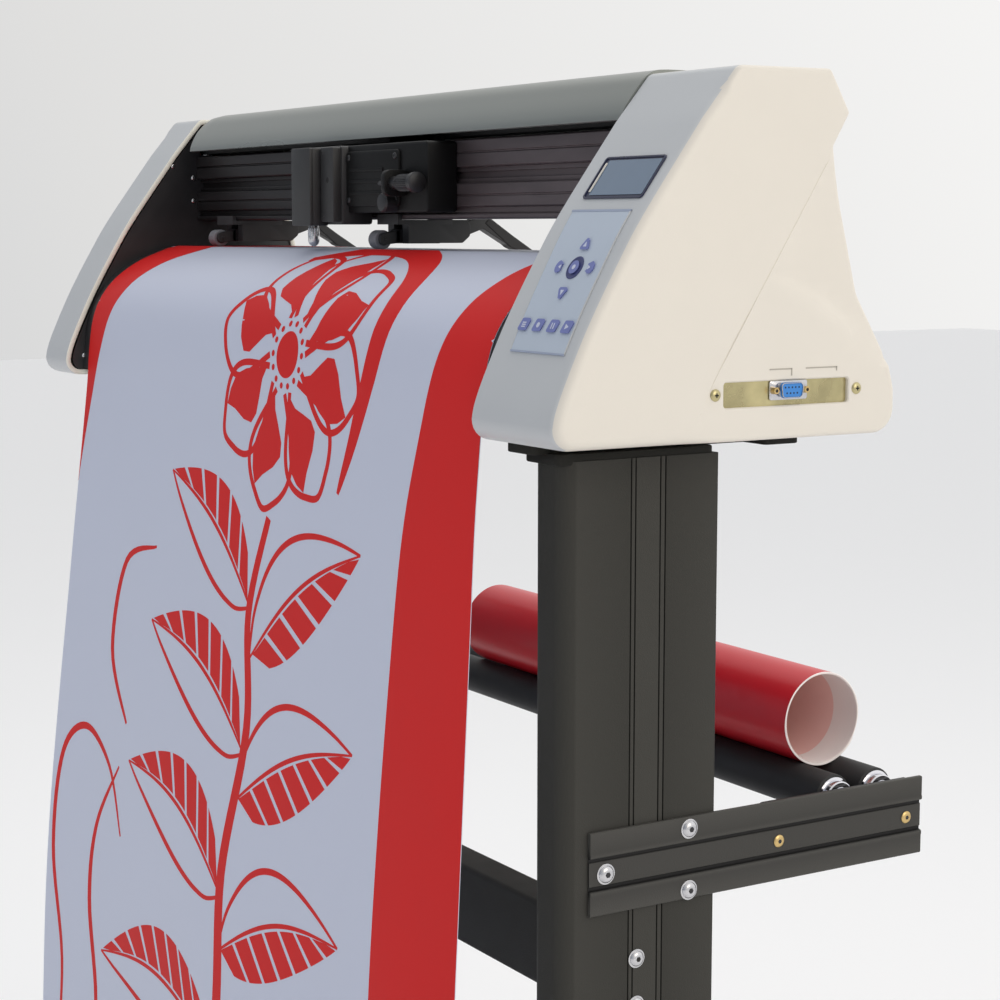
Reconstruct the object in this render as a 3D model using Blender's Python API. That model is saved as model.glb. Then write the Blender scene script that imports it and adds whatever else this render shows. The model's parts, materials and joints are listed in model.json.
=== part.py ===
"""Vinyl cutting plotter on a two-column stand with a roll holder.

Blender 4.5, metres, +Z up.  +X is the control-panel end, -Y is the front.
Lengths below are millimetres, measured from the right cover's outer side (x,
negative leftwards), from the front of the covers (y, positive rearwards) and
from the underside of the covers (z).  at() turns them into the row frame,
whose origin is on the floor under the middle of the machine.
"""
import math

import bmesh
import bpy
from mathutils import Matrix, Vector

# --- driving dimensions, mm ---------------------------------------------
HEAD_HEIGHT = 840.0        # underside of the covers above the floor
MID_X, MID_Y = 437.5, -110.0
GAP = 0.3                  # between touching pieces
WALL = 3.0                 # cover wall

RIGHT_OUT, RIGHT_IN = 0.0, -97.2
LEFT_IN, LEFT_OUT = -818.6, -877.5
PLATE_T, PLATE_INSET = 3.0, 2.5
SPAN_L = LEFT_IN - PLATE_INSET + GAP     # left end of bed and beam
SPAN_R = RIGHT_IN + PLATE_INSET - GAP    # right end of bed and beam
CENTRE_X = -440.0          # middle plane of the stand

# side outline of the covers, (y, z): the curved front, then the back
FRONT = [(0.0, 14.0), (2.2, 24.0), (9.5, 42.1), (25.6, 75.6), (46.8, 113.0),
         (66.2, 143.7), (109.7, 202.7), (135.0, 231.4)]
BACK = [(139.5, 234.6), (208.0, 235.4), (212.4, 233.0), (226.0, 209.6),
        (226.3, 206.0), (213.5, 185.8), (238.5, 91.8), (262.4, 53.3),
        (269.0, 29.6), (268.0, 17.3), (264.2, 9.2), (257.0, 3.2), (248.0, 0.0),
        (14.0, 0.0), (6.8, 2.0), (2.0, 6.8)]

BED_TOP = 116.5
SHEET_T = 0.5
SHEET_L, SHEET_R = -806.0, -106.0
SHEET_REAR = 204.0
SHEET_END = -640.0
# outer face of the front apron, (y, z)
APRON = [(100.0, 116.5), (84.6, 111.3), (62.6, 102.1), (40.6, 86.9),
         (25.9, 68.4), (18.4, 48.2), (14.8, 22.7), (13.4, 6.0)]

NIP_Y = 122.0              # line of the pinch rollers and grit shaft
GRIT_R, PINCH_R = 8.0, 7.5
GRIT_Z = BED_TOP - GRIT_R
PINCH_Z = BED_TOP + GAP + SHEET_T + GAP + PINCH_R
PINCH_X = (-750.0, -438.8)
ARM_PIVOT = (150.0, 130.0)

BEAM_Y, BEAM_Z = (130.0, 172.0), (141.0, 200.0)
TOOL_X, TOOL_Y = -507.0, 95.0
BELT_Z, BELT_R, BELT_Y = (203.0, 209.0), 9.0, 150.0
DRIVE_X, IDLER_X = -66.0, -846.0
MOTOR_YZ = (84.0, 44.0)
FEED_R = 12.0
FEED_X = (-84.0, -76.0)

COLUMN_X, COLUMN_Y = (-84.6, -48.0), (38.0, 161.0)
FOOT_Y, FOOT_Z = (-170.0, 390.0), (65.0, 95.0)
ARM_Y, ARM_Z = (58.0, 343.0), (-310.0, -254.0)
ROLLER_R, ROLLER_Y, ROLLER_Z = 15.5, (280.0, 318.0), -265.0
ROLL_R, ROLL_WALL, ROLL_X = 34.7, 2.2, (-553.0, -103.0)
CASTER_R, CASTER_TRAIL = 25.0, 18.0
CASTER_Y = (-125.0, 345.0)

KEYS = {"key_up": (-44.0, 123.8), "key_left": (-60.4, 109.5),
        "key_centre": (-44.8, 109.5), "key_right": (-28.2, 109.5),
        "key_down": (-44.8, 93.6), "key_f1": (-70.6, 73.8),
        "key_f2": (-54.2, 73.8), "key_f3": (-37.6, 73.8),
        "key_f4": (-21.8, 73.8)}
KEY_SIZE = (10.0, 8.0)

for old in list(bpy.data.objects):
    bpy.data.objects.remove(old, do_unlink=True)


def at(x, y, z):
    """Millimetres on the machine to metres in the row frame."""
    return Vector((x + MID_X, y + MID_Y, z + HEAD_HEIGHT)) * 0.001


def floor_z(z):
    """Height above the floor to height above the covers' underside."""
    return z - HEAD_HEIGHT


def paint(name, rgb, rough, metal=0.0, alpha=1.0):
    mat = bpy.data.materials.new(name)
    mat.use_nodes = True
    node = mat.node_tree.nodes["Principled BSDF"]
    node.inputs["Base Color"].default_value = (*rgb, 1.0)
    node.inputs["Roughness"].default_value = rough
    node.inputs["Metallic"].default_value = metal
    node.inputs["Alpha"].default_value = alpha
    return mat


# --- shape builders -------------------------------------------------------
def make(name, verts, faces):
    mesh = bpy.data.meshes.new(name)
    mesh.from_pydata([tuple(v) for v in verts], [], faces)
    bm = bmesh.new()
    bm.from_mesh(mesh)
    bmesh.ops.recalc_face_normals(bm, faces=bm.faces)
    bm.to_mesh(mesh)
    bm.free()
    obj = bpy.data.objects.new(name, mesh)
    bpy.context.scene.collection.objects.link(obj)
    return obj


def prism(name, outline, lo, hi, axis="x"):
    """Extrude an outline: (y, z) along x, (x, z) along y or (x, y) along z."""
    put = {"x": lambda p, t: at(t, p[0], p[1]),
           "y": lambda p, t: at(p[0], t, p[1]),
           "z": lambda p, t: at(p[0], p[1], t)}[axis]
    n = len(outline)
    verts = [put(p, lo) for p in outline] + [put(p, hi) for p in outline]
    faces = [tuple(range(n)), tuple(range(2 * n - 1, n - 1, -1))]
    faces += [(i, (i + 1) % n, n + (i + 1) % n, n + i) for i in range(n)]
    return make(name, verts, faces)


def block(name, x, y, z):
    return prism(name, [(y[0], z[0]), (y[1], z[0]), (y[1], z[1]), (y[0], z[1])],
                 x[0], x[1])


def lathe(name, stations, centre, axis="x", sides=32):
    """Turn (position, radius) stations about an axis through centre."""
    put = {"x": lambda t, u, v: at(t, centre[0] + u, centre[1] + v),
           "y": lambda t, u, v: at(centre[0] + u, t, centre[1] + v),
           "z": lambda t, u, v: at(centre[0] + u, centre[1] + v, t)}[axis]
    verts, faces = [], []
    for t, r in stations:
        for k in range(sides):
            a = 2 * math.pi * k / sides
            verts.append(put(t, r * math.cos(a), r * math.sin(a)))
    for s in range(len(stations) - 1):
        for k in range(sides):
            a, b = s * sides + k, s * sides + (k + 1) % sides
            faces.append((a, b, b + sides, a + sides))
    faces.append(tuple(range(sides)))
    last = (len(stations) - 1) * sides
    faces.append(tuple(range(last + sides - 1, last - 1, -1)))
    return make(name, verts, faces)


def rod(name, r, lo, hi, centre, axis="x", sides=24):
    return lathe(name, [(lo, r), (hi, r)], centre, axis, sides)


def tilted(name, x, spot, slope, along, out):
    """Block on a sloping face: slope is the (y, z) direction up the face."""
    t = Vector(slope).normalized()
    n = Vector((-t[1], t[0])) if spot[0] < 180 else Vector((t[1], -t[0]))
    pts = [(spot[0] + t[0] * a + n[0] * o, spot[1] + t[1] * a + n[1] * o)
           for a, o in ((along[0], out[0]), (along[1], out[0]),
                        (along[1], out[1]), (along[0], out[1]))]
    return prism(name, pts, x[0], x[1])


def combine(base, tools, how):
    """Exact Boolean of base with each tool; the tools are used up."""
    for tool in tools:
        mod = base.modifiers.new("cut", "BOOLEAN")
        mod.operation, mod.solver, mod.object = how, "EXACT", tool
        graph = bpy.context.evaluated_depsgraph_get()
        done = bpy.data.meshes.new_from_object(base.evaluated_get(graph))
        base.modifiers.clear()
        base.data = done
        bpy.data.objects.remove(tool, do_unlink=True)
    return base


def cut(base, *tools):
    return combine(base, tools, "DIFFERENCE")


def join(base, *tools):
    return combine(base, tools, "UNION")


def finish(obj, mat, pivot=None, smooth=35.0):
    """Clean the mesh, give it its material and put its origin on its axis."""
    bm = bmesh.new()
    bm.from_mesh(obj.data)
    bmesh.ops.remove_doubles(bm, verts=bm.verts, dist=1e-6)
    bmesh.ops.dissolve_degenerate(bm, edges=bm.edges, dist=1e-7)
    for face in bm.faces:
        face.smooth = True
    for edge in bm.edges:
        bend = edge.calc_face_angle(math.pi)
        edge.smooth = bend < math.radians(smooth)
    bm.to_mesh(obj.data)
    bm.free()
    obj.data.materials.clear()
    obj.data.materials.append(mat)
    if pivot is not None:
        spot = at(*pivot)
        obj.data.transform(Matrix.Translation(-spot))
        obj.location = spot
    return obj


def spline(points, steps):
    """Catmull-Rom curve through the points."""
    out = []
    ends = [points[0]] + list(points) + [points[-1]]
    for i in range(1, len(ends) - 2):
        p0, p1, p2, p3 = (Vector(p) for p in ends[i - 1:i + 3])
        for k in range(steps):
            t = k / steps
            out.append(tuple(0.5 * ((2 * p1) + (p2 - p0) * t
                                    + (2 * p0 - 5 * p1 + 4 * p2 - p3) * t * t
                                    + (3 * p1 - p0 - 3 * p2 + p3) * t ** 3)))
    return out + [tuple(points[-1])]


def shifted(path, d, closed=False):
    """Path moved sideways by d, to the left of its direction of travel."""
    out, n = [], len(path)
    for i, p in enumerate(path):
        a = path[(i - 1) % n] if closed or i else p
        b = path[(i + 1) % n] if closed or i < n - 1 else p
        u, v = Vector(p) - Vector(a), Vector(b) - Vector(p)
        u = u.normalized() if u.length > 0 else v.normalized()
        v = v.normalized() if v.length > 0 else u
        nu, nv = Vector((-u[1], u[0])), Vector((-v[1], v[0]))
        m = (nu + nv).normalized()
        out.append(tuple(Vector(p) + m * d / max(m.dot(nu), 0.3)))
    return out


def stadium(c0, c1, r, n=12):
    """Outline of a belt loop of radius r round two centres."""
    d = (Vector(c1) - Vector(c0))
    base = math.atan2(d[1], d[0])
    pts = []
    for centre, start in ((c1, base - math.pi / 2), (c0, base + math.pi / 2)):
        for k in range(n + 1):
            a = start + math.pi * k / n
            pts.append((centre[0] + r * math.cos(a), centre[1] + r * math.sin(a)))
    return pts


def rounded(x, y, radii, n=5):
    """Rectangle outline with its own radius at each corner."""
    corners = [(x[0], y[0], 180), (x[1], y[0], 270), (x[1], y[1], 0), (x[0], y[1], 90)]
    pts = []
    for (cx, cy, a0), r in zip(corners, radii):
        ox = cx + r if cx == x[0] else cx - r
        oy = cy + r if cy == y[0] else cy - r
        for k in range(n + 1):
            a = math.radians(a0 + 90 * k / n)
            pts.append((ox + r * math.cos(a), oy + r * math.sin(a)))
    return pts


front_curve = spline(FRONT, 3)
outline = front_curve + BACK


def face_at(z):
    """Point and upward direction of the cover's front face at height z."""
    for a, b in zip(front_curve, front_curve[1:]):
        if a[1] <= z <= b[1]:
            f = (z - a[1]) / (b[1] - a[1])
            return (a[0] + f * (b[0] - a[0]), z), (b[0] - a[0], b[1] - a[1])


# --- materials ------------------------------------------------------------
cream = paint("cream_cover", (0.80, 0.76, 0.70), 0.45)
sage = paint("sage_hood", (0.36, 0.38, 0.35), 0.40)
black = paint("black_paint", (0.02, 0.02, 0.022), 0.45)
charcoal = paint("charcoal_paint", (0.045, 0.045, 0.04), 0.42)
rail = paint("black_anodised", (0.03, 0.026, 0.03), 0.35, 0.6)
steel = paint("bright_steel", (0.60, 0.60, 0.62), 0.25, 1.0)
zinc = paint("zinc_plate", (0.62, 0.58, 0.42), 0.35, 1.0)
rubber = paint("black_rubber", (0.018, 0.018, 0.018), 0.7)
label = paint("keypad_label", (0.62, 0.68, 0.78), 0.4)
key_blue = paint("key_blue", (0.20, 0.24, 0.50), 0.45)
glass = paint("display_face", (0.10, 0.13, 0.18), 0.12)
green = paint("board_green", (0.02, 0.16, 0.07), 0.5)
film = paint("vinyl_film", (0.78, 0.80, 0.86), 0.3)
red = paint("roll_red", (0.55, 0.02, 0.03), 0.28)
tyre = paint("grey_tyre", (0.12, 0.12, 0.12), 0.6)

# --- covers and side plates -----------------------------------------------
core = shifted(outline, -WALL, closed=True)
plate_line = shifted(outline, -WALL - GAP, closed=True)

right_cover = prism("right_cover", outline, RIGHT_IN, RIGHT_OUT)
cut(right_cover, prism("cavity", core, RIGHT_IN - 5.0, RIGHT_OUT - WALL),
    prism("io_slot", rounded((127.4, 229.0), (21.6, 37.8), (3, 3, 3, 3), 3), -6.0, 5.0))
left_cover = prism("left_cover", outline, LEFT_OUT, LEFT_IN)
cut(left_cover, prism("cavity", core, LEFT_OUT + WALL, LEFT_IN + 5.0))

right_plate_x = (RIGHT_IN + PLATE_INSET, RIGHT_IN + PLATE_INSET + PLATE_T)
left_plate_x = (LEFT_IN - PLATE_INSET - PLATE_T, LEFT_IN - PLATE_INSET)
right_plate = prism("right_side_plate", plate_line, *right_plate_x)
left_plate = prism("left_side_plate", plate_line, *left_plate_x)
for plate, xs in ((right_plate, right_plate_x), (left_plate, left_plate_x)):
    span = (xs[0] - 5.0, xs[1] + 5.0)
    cut(plate, rod("journal", 6.0, *span, (NIP_Y, GRIT_Z)),
        block("belt_window", span, (134.0, 166.0), (201.5, 210.5)))
cut(right_plate, rod("shaft_hole", 12.0, right_plate_x[0] - 5, right_plate_x[1] + 5,
                     MOTOR_YZ))
join(left_plate,
     block("idler_tab", (IDLER_X - 14.0, left_plate_x[0] + 1.0), (136.0, 164.0),
           (196.5, 199.5)),
     rod("idler_pin", 2.5, 198.0, 209.5, (IDLER_X, BELT_Y), "z", 16))

# --- keypad, display and keys on the sloping front of the right cover ------
low = [p for p in front_curve if 57.0 < p[1] < 146.0]
ends = [face_at(57.5)[0]] + low + [face_at(145.2)[0]]
strip_in, strip_out = shifted(ends, GAP), shifted(ends, GAP + 0.6)
overlay = prism("keypad_overlay", strip_in + strip_out[::-1], -81.5, -16.5)
keys = {}
for name, (kx, kz) in KEYS.items():
    spot, slope = face_at(kz)
    hx, ht = KEY_SIZE[0] / 2, KEY_SIZE[1] / 2
    cut(right_cover, tilted("pocket", (kx - hx - 0.4, kx + hx + 0.4), spot, slope,
                            (-ht - 0.4, ht + 0.4), (-2.2, 3.0)))
    cut(overlay, tilted("hole", (kx - hx - 0.4, kx + hx + 0.4), spot, slope,
                        (-ht - 0.4, ht + 0.4), (-3.0, 4.0)))
    keys[name] = tilted(name, (kx - hx, kx + hx), spot, slope, (-ht, ht), (-1.4, 2.0))
spot, slope = face_at(165.8)
lcd = tilted("lcd_window", (-79.4, -13.5), spot, slope, (-16.3, 16.3), (0.45, 2.2))

# --- power inlet and rocker on the sloping back of the right cover ---------
back_slope = (213.5 - 238.5, 185.8 - 91.8)
back_spot = (229.7, 125.0)
switch_spot = (229.7, 125.0)
cut(right_cover,
    tilted("inlet_hole", (-79.3, -50.7), back_spot, back_slope, (-11.3, 11.3), (-8, 8)),
    tilted("switch_hole", (-38.0, -22.0), switch_spot, back_slope, (-11.3, 11.3),
           (-8, 8)))
inlet = tilted("power_inlet", (-79.0, -51.0), back_spot, back_slope, (-11, 11),
               (-18.0, 0.0))
join(inlet, tilted("flange", (-83.0, -47.0), back_spot, back_slope, (-14, 14),
                   (GAP, 2.6)),
     tilted("neck", (-78.5, -51.5), back_spot, back_slope, (-10.5, 10.5), (-2, 1)))
switch = tilted("power_switch", (-37.0, -23.0), switch_spot, back_slope, (-10, 10),
                (-7.0, 2.0))

# --- I/O plate, connector and board ----------------------------------------
io_plate = block("io_plate", (-4.5, -3.0 - GAP), (122.0, 234.0), (17.0, 42.5))
cut(io_plate, block("cutout", (-6.0, 0.0), (170.4, 190.6), (26.2, 36.4)))
serial = block("serial_connector", (-3.0, -2.2), (165.1, 195.9), (25.1, 37.5))
shell = [(171.8, 35.7), (189.2, 35.7), (188.0, 27.0), (173.0, 27.0)]
join(serial, prism("shell", shell, -2.5, 2.5),
     block("body", (-16.0, -2.6), (171.0, 190.0), (26.6, 36.0)),
     *[rod("jackscrew", 2.4, -2.6, 1.8, (y, 31.3), "x", 6) for y in (168.0, 193.0)])
board = block("circuit_board", (-88.0, -9.0), (116.0, 232.0), (17.6, 19.2))

# --- bed with its curved apron, and the gantry beam -------------------------
apron = spline(APRON, 3)
path = [(226.5, 45.0), (225.5, 88.0), (222.0, 103.0), (213.5, 112.8), (203.0, 116.5)]
path += apron
bed = prism("bed", path + shifted(path, 3.0)[::-1], SPAN_L, SPAN_R)
cut(bed, block("grit_slot", (-812.0, -103.0), (NIP_Y - 9.5, NIP_Y + 9.5),
               (105.0, 125.0)))

(y0, y1), (z0, z1) = BEAM_Y, BEAM_Z
beam_line = [(y0, z0), (y1, z0), (y1, z1), (y0, z1), (y0, 180.0), (y0 + 3, 178.5),
             (y0 + 3, 168.5), (y0, 167.0), (y0, 150.5), (y0 + 2, 149.0)]
beam = prism("gantry_beam", beam_line, SPAN_L, SPAN_R)
cut(beam, block("bore", (SPAN_L - 5, SPAN_R + 5), (y0 + 7, y1 - 4), (z0 + 4, z1 - 4)))

hood_path = [(113.6, 204.7), (136.6, 233.0), (144.0, 238.0), (204.0, 238.0),
             (208.6, 235.6), (222.2, 209.6), (222.4, 205.4), (216.0, 192.0),
             (218.0, 150.0)]
hood = prism("top_cover", hood_path + shifted(hood_path, -3.0)[::-1],
             LEFT_IN + GAP, RIGHT_IN - GAP)

# --- media feed: grit shaft, pulley, belt and motor --------------------------
grit = lathe("grit_shaft", [(-829.0, 4.5), (-810.0, 4.5), (-809.0, GRIT_R),
                            (-106.0, GRIT_R), (-105.0, 4.5), (-86.0, 4.5),
                            (-86.0, FEED_R + 1.5), (-84.6, FEED_R + 1.5),
                            (-84.4, FEED_R), (-75.6, FEED_R), (-75.4, FEED_R + 1.5),
                            (-74.0, FEED_R + 1.5), (-74.0, 4.5), (-68.0, 4.5)],
             (NIP_Y, GRIT_Z))
feed_pulley = lathe("feed_motor_pulley",
                    [(-88.0, 7.0), (-85.6, 7.0), (-85.6, 9.5), (-84.4, 9.5),
                     (-84.4, 8.0), (-75.6, 8.0), (-75.6, 9.5), (-74.4, 9.5)],
                    MOTOR_YZ)
cut(feed_pulley, rod("bore", 2.8, -90.0, -70.0, MOTOR_YZ))
feed_motor = block("feed_motor", (-137.0, right_plate_x[0] - GAP),
                   (MOTOR_YZ[0] - 21, MOTOR_YZ[0] + 21),
                   (MOTOR_YZ[1] - 21, MOTOR_YZ[1] + 21))
join(feed_motor, rod("spigot", 11.0, -96.0, -92.5, MOTOR_YZ),
     rod("shaft", 2.5, -96.0, -73.0, MOTOR_YZ, "x", 16))


def belt_loop(name, c0, r0, c1, r1, thick, lo, hi, axis):
    """Closed belt round two pulleys that may differ in radius."""
    d = Vector(c1) - Vector(c0)
    base, lean = math.atan2(d[1], d[0]), math.asin((r0 - r1) / d.length)
    rings = []
    for grow in (GAP, GAP + thick):
        pts = []
        for c, r, a0, a1 in ((c1, r1 + grow, base - math.pi / 2 + lean,
                              base + math.pi / 2 - lean),
                             (c0, r0 + grow, base + math.pi / 2 - lean,
                              base + 1.5 * math.pi + lean)):
            for k in range(13):
                a = a0 + (a1 - a0) * k / 12
                pts.append((c[0] + r * math.cos(a), c[1] + r * math.sin(a)))
        rings.append(pts)
    inner, outer = rings
    belt = prism(name, outer, lo, hi, axis)
    return cut(belt, prism("inside", inner, lo - 2, hi + 2, axis))


feed_belt = belt_loop("feed_belt", MOTOR_YZ, 8.0, (NIP_Y, GRIT_Z), FEED_R, 1.2,
                      -83.5, -76.5, "x")

# --- carriage drive -----------------------------------------------------------
carriage_motor = block("carriage_motor", (right_plate_x[1] + GAP, -44.0),
                       (BELT_Y - 21, BELT_Y + 21), (152.0, 194.0))
join(carriage_motor, rod("spigot", 9.0, 193.0, 196.5, (DRIVE_X, BELT_Y), "z"),
     rod("shaft", 2.5, 193.0, 211.0, (DRIVE_X, BELT_Y), "z", 16))
PULLEY = [(200.5, 11.0), (202.2, 11.0), (202.4, BELT_R), (209.6, BELT_R),
          (209.8, 11.0), (211.0, 11.0)]
pulleys = []
for name, px in (("drive_pulley", DRIVE_X), ("idler_pulley", IDLER_X)):
    wheel = lathe(name, PULLEY, (px, BELT_Y), "z")
    pulleys.append(cut(wheel, rod("bore", 2.8, 195.0, 215.0, (px, BELT_Y), "z")))
carriage_belt = belt_loop("carriage_belt", (IDLER_X, BELT_Y), BELT_R,
                          (DRIVE_X, BELT_Y), BELT_R, 1.2, BELT_Z[0], BELT_Z[1], "z")

# --- carriage, tool block, blade holder and clamp screw ------------------------
belt_face = BELT_Y - BELT_R - GAP - 1.2
body_x = (TOOL_X + 40.3, -335.0)
carriage = block("carriage_body", body_x, (104.0, BEAM_Y[0] - GAP), (146.0, 199.0))
join(carriage,
     block("riser", (-430.0, -370.0), (124.0, BEAM_Y[0] - GAP), (198.0, 209.0)),
     block("belt_clamp", (-430.0, -370.0), (124.0, belt_face - GAP),
           (BEAM_Z[1] + 0.8, 209.0)),
     block("lug", (-372.0, -366.0), (84.0, 106.0), (158.0, 178.0)))
cut(carriage, rod("lug_hole", 2.4, -380.0, -360.0, (92.0, 168.0)))
knob = lathe("clamp_knob", [(-389.0, 1.2), (-387.0, 2.0), (-365.6, 2.0), (-365.6, 5.0),
                            (-356.0, 5.0), (-356.0, 7.6), (-354.5, 8.2), (-330.0, 8.2),
                            (-328.0, 7.0)], (92.0, 168.0))
tool = block("tool_block", (TOOL_X - 16.0, TOOL_X + 40.0), (83.0, 125.7), (137.0, 199.0))
cut(tool, rod("holder_bore", 5.2, 130.0, 168.0, (TOOL_X, TOOL_Y), "z"))
holder = lathe("blade_holder", [(118.8, 0.6), (120.4, 0.9), (120.6, 3.0), (123.0, 4.7),
                                (158.0, 4.7), (158.0, 3.2), (164.0, 3.2)],
               (TOOL_X, TOOL_Y), "z")

# --- pinch roller units -----------------------------------------------------------
py, pz = ARM_PIVOT
pinch = {}
for side, px in zip(("left", "right"), PINCH_X):
    bracket = block(side + "_pinch_bracket", (px - 17, px + 17), (126.2, 176.0),
                    (122.0, 152.0))
    cut(bracket, block("beam_room", (px - 30, px + 30), (BEAM_Y[0] - GAP, 172.3),
                       (BEAM_Z[0] - GAP, 170.0)),
        block("lip_room", (px - 30, px + 30), (110.0, BEAM_Y[0]), (145.0, 170.0)),
        block("arm_room", (px - 7, px + 7), (100.0, 200.0), (110.0, 137.0)),
        block("front_room", (px - 30, px + 30), (100.0, 136.0), (110.0, 137.0)),
        block("rear_room", (px - 30, px + 30), (164.0, 200.0), (110.0, 137.0)),
        rod("pin_hole", 2.4, px - 14, px + 14, (py, pz)))
    side_view = [(NIP_Y - 5, PINCH_Z - 3), (NIP_Y + 12, 122.5), (180, 122.5),
                 (212, 133.5), (238, 119.0), (255, 112.0), (259.5, 115.5),
                 (240, 127.5), (218, 142.0), (206, 142.0), (172, 133.5),
                 (NIP_Y + 12, 133.5), (NIP_Y - 5, PINCH_Z + 3)]
    arm = prism(side + "_pinch_arm", side_view, px - 5, px + 5)
    cut(arm, block("fork", (px - 20, px + 1.5), (90, NIP_Y + 9.5), (100, 150)))
    join(arm, rod("pivot", 2.0, px - 13, px + 13, (py, pz), "x", 16),
         rod("axle", 1.8, px - 10.0, px + 3.0, (NIP_Y, PINCH_Z), "x", 16))
    roller = lathe(side + "_pinch_roller",
                   [(px - 12.0, 5.5), (px - 11.0, PINCH_R), (px + 0.2, PINCH_R),
                    (px + 1.2, 5.5)], (NIP_Y, PINCH_Z))
    cut(roller, rod("bore", 2.1, px - 11.0 - 4.0, px + 5.0, (NIP_Y, PINCH_Z)))
    pinch[side] = (px, bracket, arm, roller)

# --- sheet over the bed and down in front ------------------------------------------
rise = GAP
base = [(SHEET_REAR, BED_TOP)] + [(150.0, BED_TOP), (112.0, BED_TOP)] + apron[:-1]
hang_l = [(11.6, -10.0), (5.6, -60.0), (-3.0, -130.0), (-11.0, -200.0),
          (-22.5, -300.0), (-33.0, -400.0), (-41.0, -500.0), (-49.0, SHEET_END)]
hang_r = [(11.8, -10.0), (8.0, -60.0), (4.5, -130.0), (1.0, -200.0),
          (-4.0, -300.0), (-9.0, -400.0), (-13.0, -500.0), (-17.0, SHEET_END)]
cols = 5
verts, rows = [], None
for c in range(cols + 1):
    f = c / cols
    hang = [((1 - f) * a[0] + f * b[0], a[1]) for a, b in zip(hang_l, hang_r)]
    under = shifted(base, -rise) + hang
    over = shifted(under, -SHEET_T)
    ring = under + over[::-1]
    rows = len(ring)
    x = SHEET_L + (SHEET_R - SHEET_L) * f
    verts += [at(x, y, z) for y, z in ring]
faces = [tuple(range(rows)), tuple(range(cols * rows + rows - 1, cols * rows - 1, -1))]
for c in range(cols):
    for k in range(rows):
        a, b = c * rows + k, c * rows + (k + 1) % rows
        faces.append((a, b, b + rows, a + rows))
sheet = make("vinyl_sheet", verts, faces)


# --- stand --------------------------------------------------------------------------
def mirror(x):
    return 2 * CENTRE_X - x


def both(x, side):
    return x if side == "right" else (mirror(x[1]), mirror(x[0]))


stand = {}
for side in ("right", "left"):
    s = 1 if side == "right" else -1
    cx, foot_top = COLUMN_X, floor_z(FOOT_Z[1])
    line = rounded(cx, COLUMN_Y, (11, 11, 2.5, 2.5), 4)
    grooves = []
    for gy in (90.5, 94.0, 113.5, 117.5):
        grooves += [(cx[1], gy - 1.0), (cx[1] - 1.0, gy), (cx[1], gy + 1.0)]
    k = next(i for i, p in enumerate(line) if p[1] > 80 and p[0] > cx[1] - 3)
    line = line[:k] + grooves + line[k:]
    inner = rounded((cx[0] + 2.6, cx[1] - 2.6), (COLUMN_Y[0] + 2.6, COLUMN_Y[1] - 2.6),
                    (8.4, 8.4, 1, 1), 4)
    flip = (lambda p: p) if side == "right" else (lambda p: (mirror(p[0]), p[1]))
    column = prism(side + "_column", [flip(p) for p in line], foot_top + GAP, -6.5, "z")
    cut(column, prism("hollow", [flip(p) for p in inner], foot_top - 10, -14.0, "z"))
    join(column,
         block("step", both((-91.0, -48.6), side), (35.0, 158.0), (-14.5, -7.0)),
         block("head_plate", both((-95.0, -62.0), side), (24.0, 219.0), (-8.0, -GAP)),
         block("rear_pad", both((-92.0, -45.5), side), (197.0, 226.0), (-9.0, -GAP)))
    foot_x = both((-91.3, -41.3), side)
    foot = block(side + "_foot", foot_x, FOOT_Y, (floor_z(FOOT_Z[0]), foot_top))
    cut(foot, block("hollow", (foot_x[0] + 2.5, foot_x[1] - 2.5),
                    (FOOT_Y[0] - 5, FOOT_Y[1] + 5),
                    (floor_z(FOOT_Z[0]) + 2.5, foot_top - 2.5)))
    ax = (COLUMN_X[1] + GAP, COLUMN_X[1] + GAP + 3.0)
    lo, hi = ARM_Z
    web = [(ax[0], lo), (ax[1], lo), (ax[1], lo + 15.5), (ax[1] - 1.2, lo + 17.5),
           (ax[1] - 1.2, hi - 17.5), (ax[1], hi - 15.5), (ax[1], hi), (ax[0], hi)]
    arm = prism(side + "_roll_arm", [flip(p) for p in web], *ARM_Y, axis="y")
    join(arm, block("bearing_block", both((-57.7, ax[0] + 0.6), side), (205.0, 339.0),
                    (-300.0, -256.5)))
    bores = both((-70.0, -49.2), side)
    cut(arm, *[rod("bore", 4.3, *bores, (y, ROLLER_Z)) for y in ROLLER_Y])
    stand[side] = (column, foot, arm)

crossbar = block("crossbar", (mirror(COLUMN_X[0]) + GAP, COLUMN_X[0] - GAP),
                 (82.0, 112.0), (-391.0, -331.0))
cut(crossbar, block("hollow", (-900.0, 10.0), (84.5, 109.5), (-388.5, -333.5)))

rollers = []
for name, ry in zip(("front_support_roller", "rear_support_roller"), ROLLER_Y):
    half = [(50.0, 4.0), (58.2, 4.0), (58.2, 12.0), (66.0, 12.0), (66.0, ROLLER_R - 1),
            (67.0, ROLLER_R)]
    stations = [(-x, r) for x, r in half] + [(mirror(-x), r) for x, r in half[::-1]]
    rollers.append(lathe(name, stations, (ry, ROLLER_Z)))
roll_y = sum(ROLLER_Y) / 2
drop = (ROLLER_Y[1] - ROLLER_Y[0]) / 2
roll_z = ROLLER_Z + math.sqrt((ROLL_R + ROLLER_R + GAP) ** 2 - drop ** 2)
roll = rod("vinyl_roll", ROLL_R, *ROLL_X, (roll_y, roll_z), "x", 64)
cut(roll, rod("core", ROLL_R - ROLL_WALL, ROLL_X[0] - 5, ROLL_X[1] + 5,
              (roll_y, roll_z), "x", 64))

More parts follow.
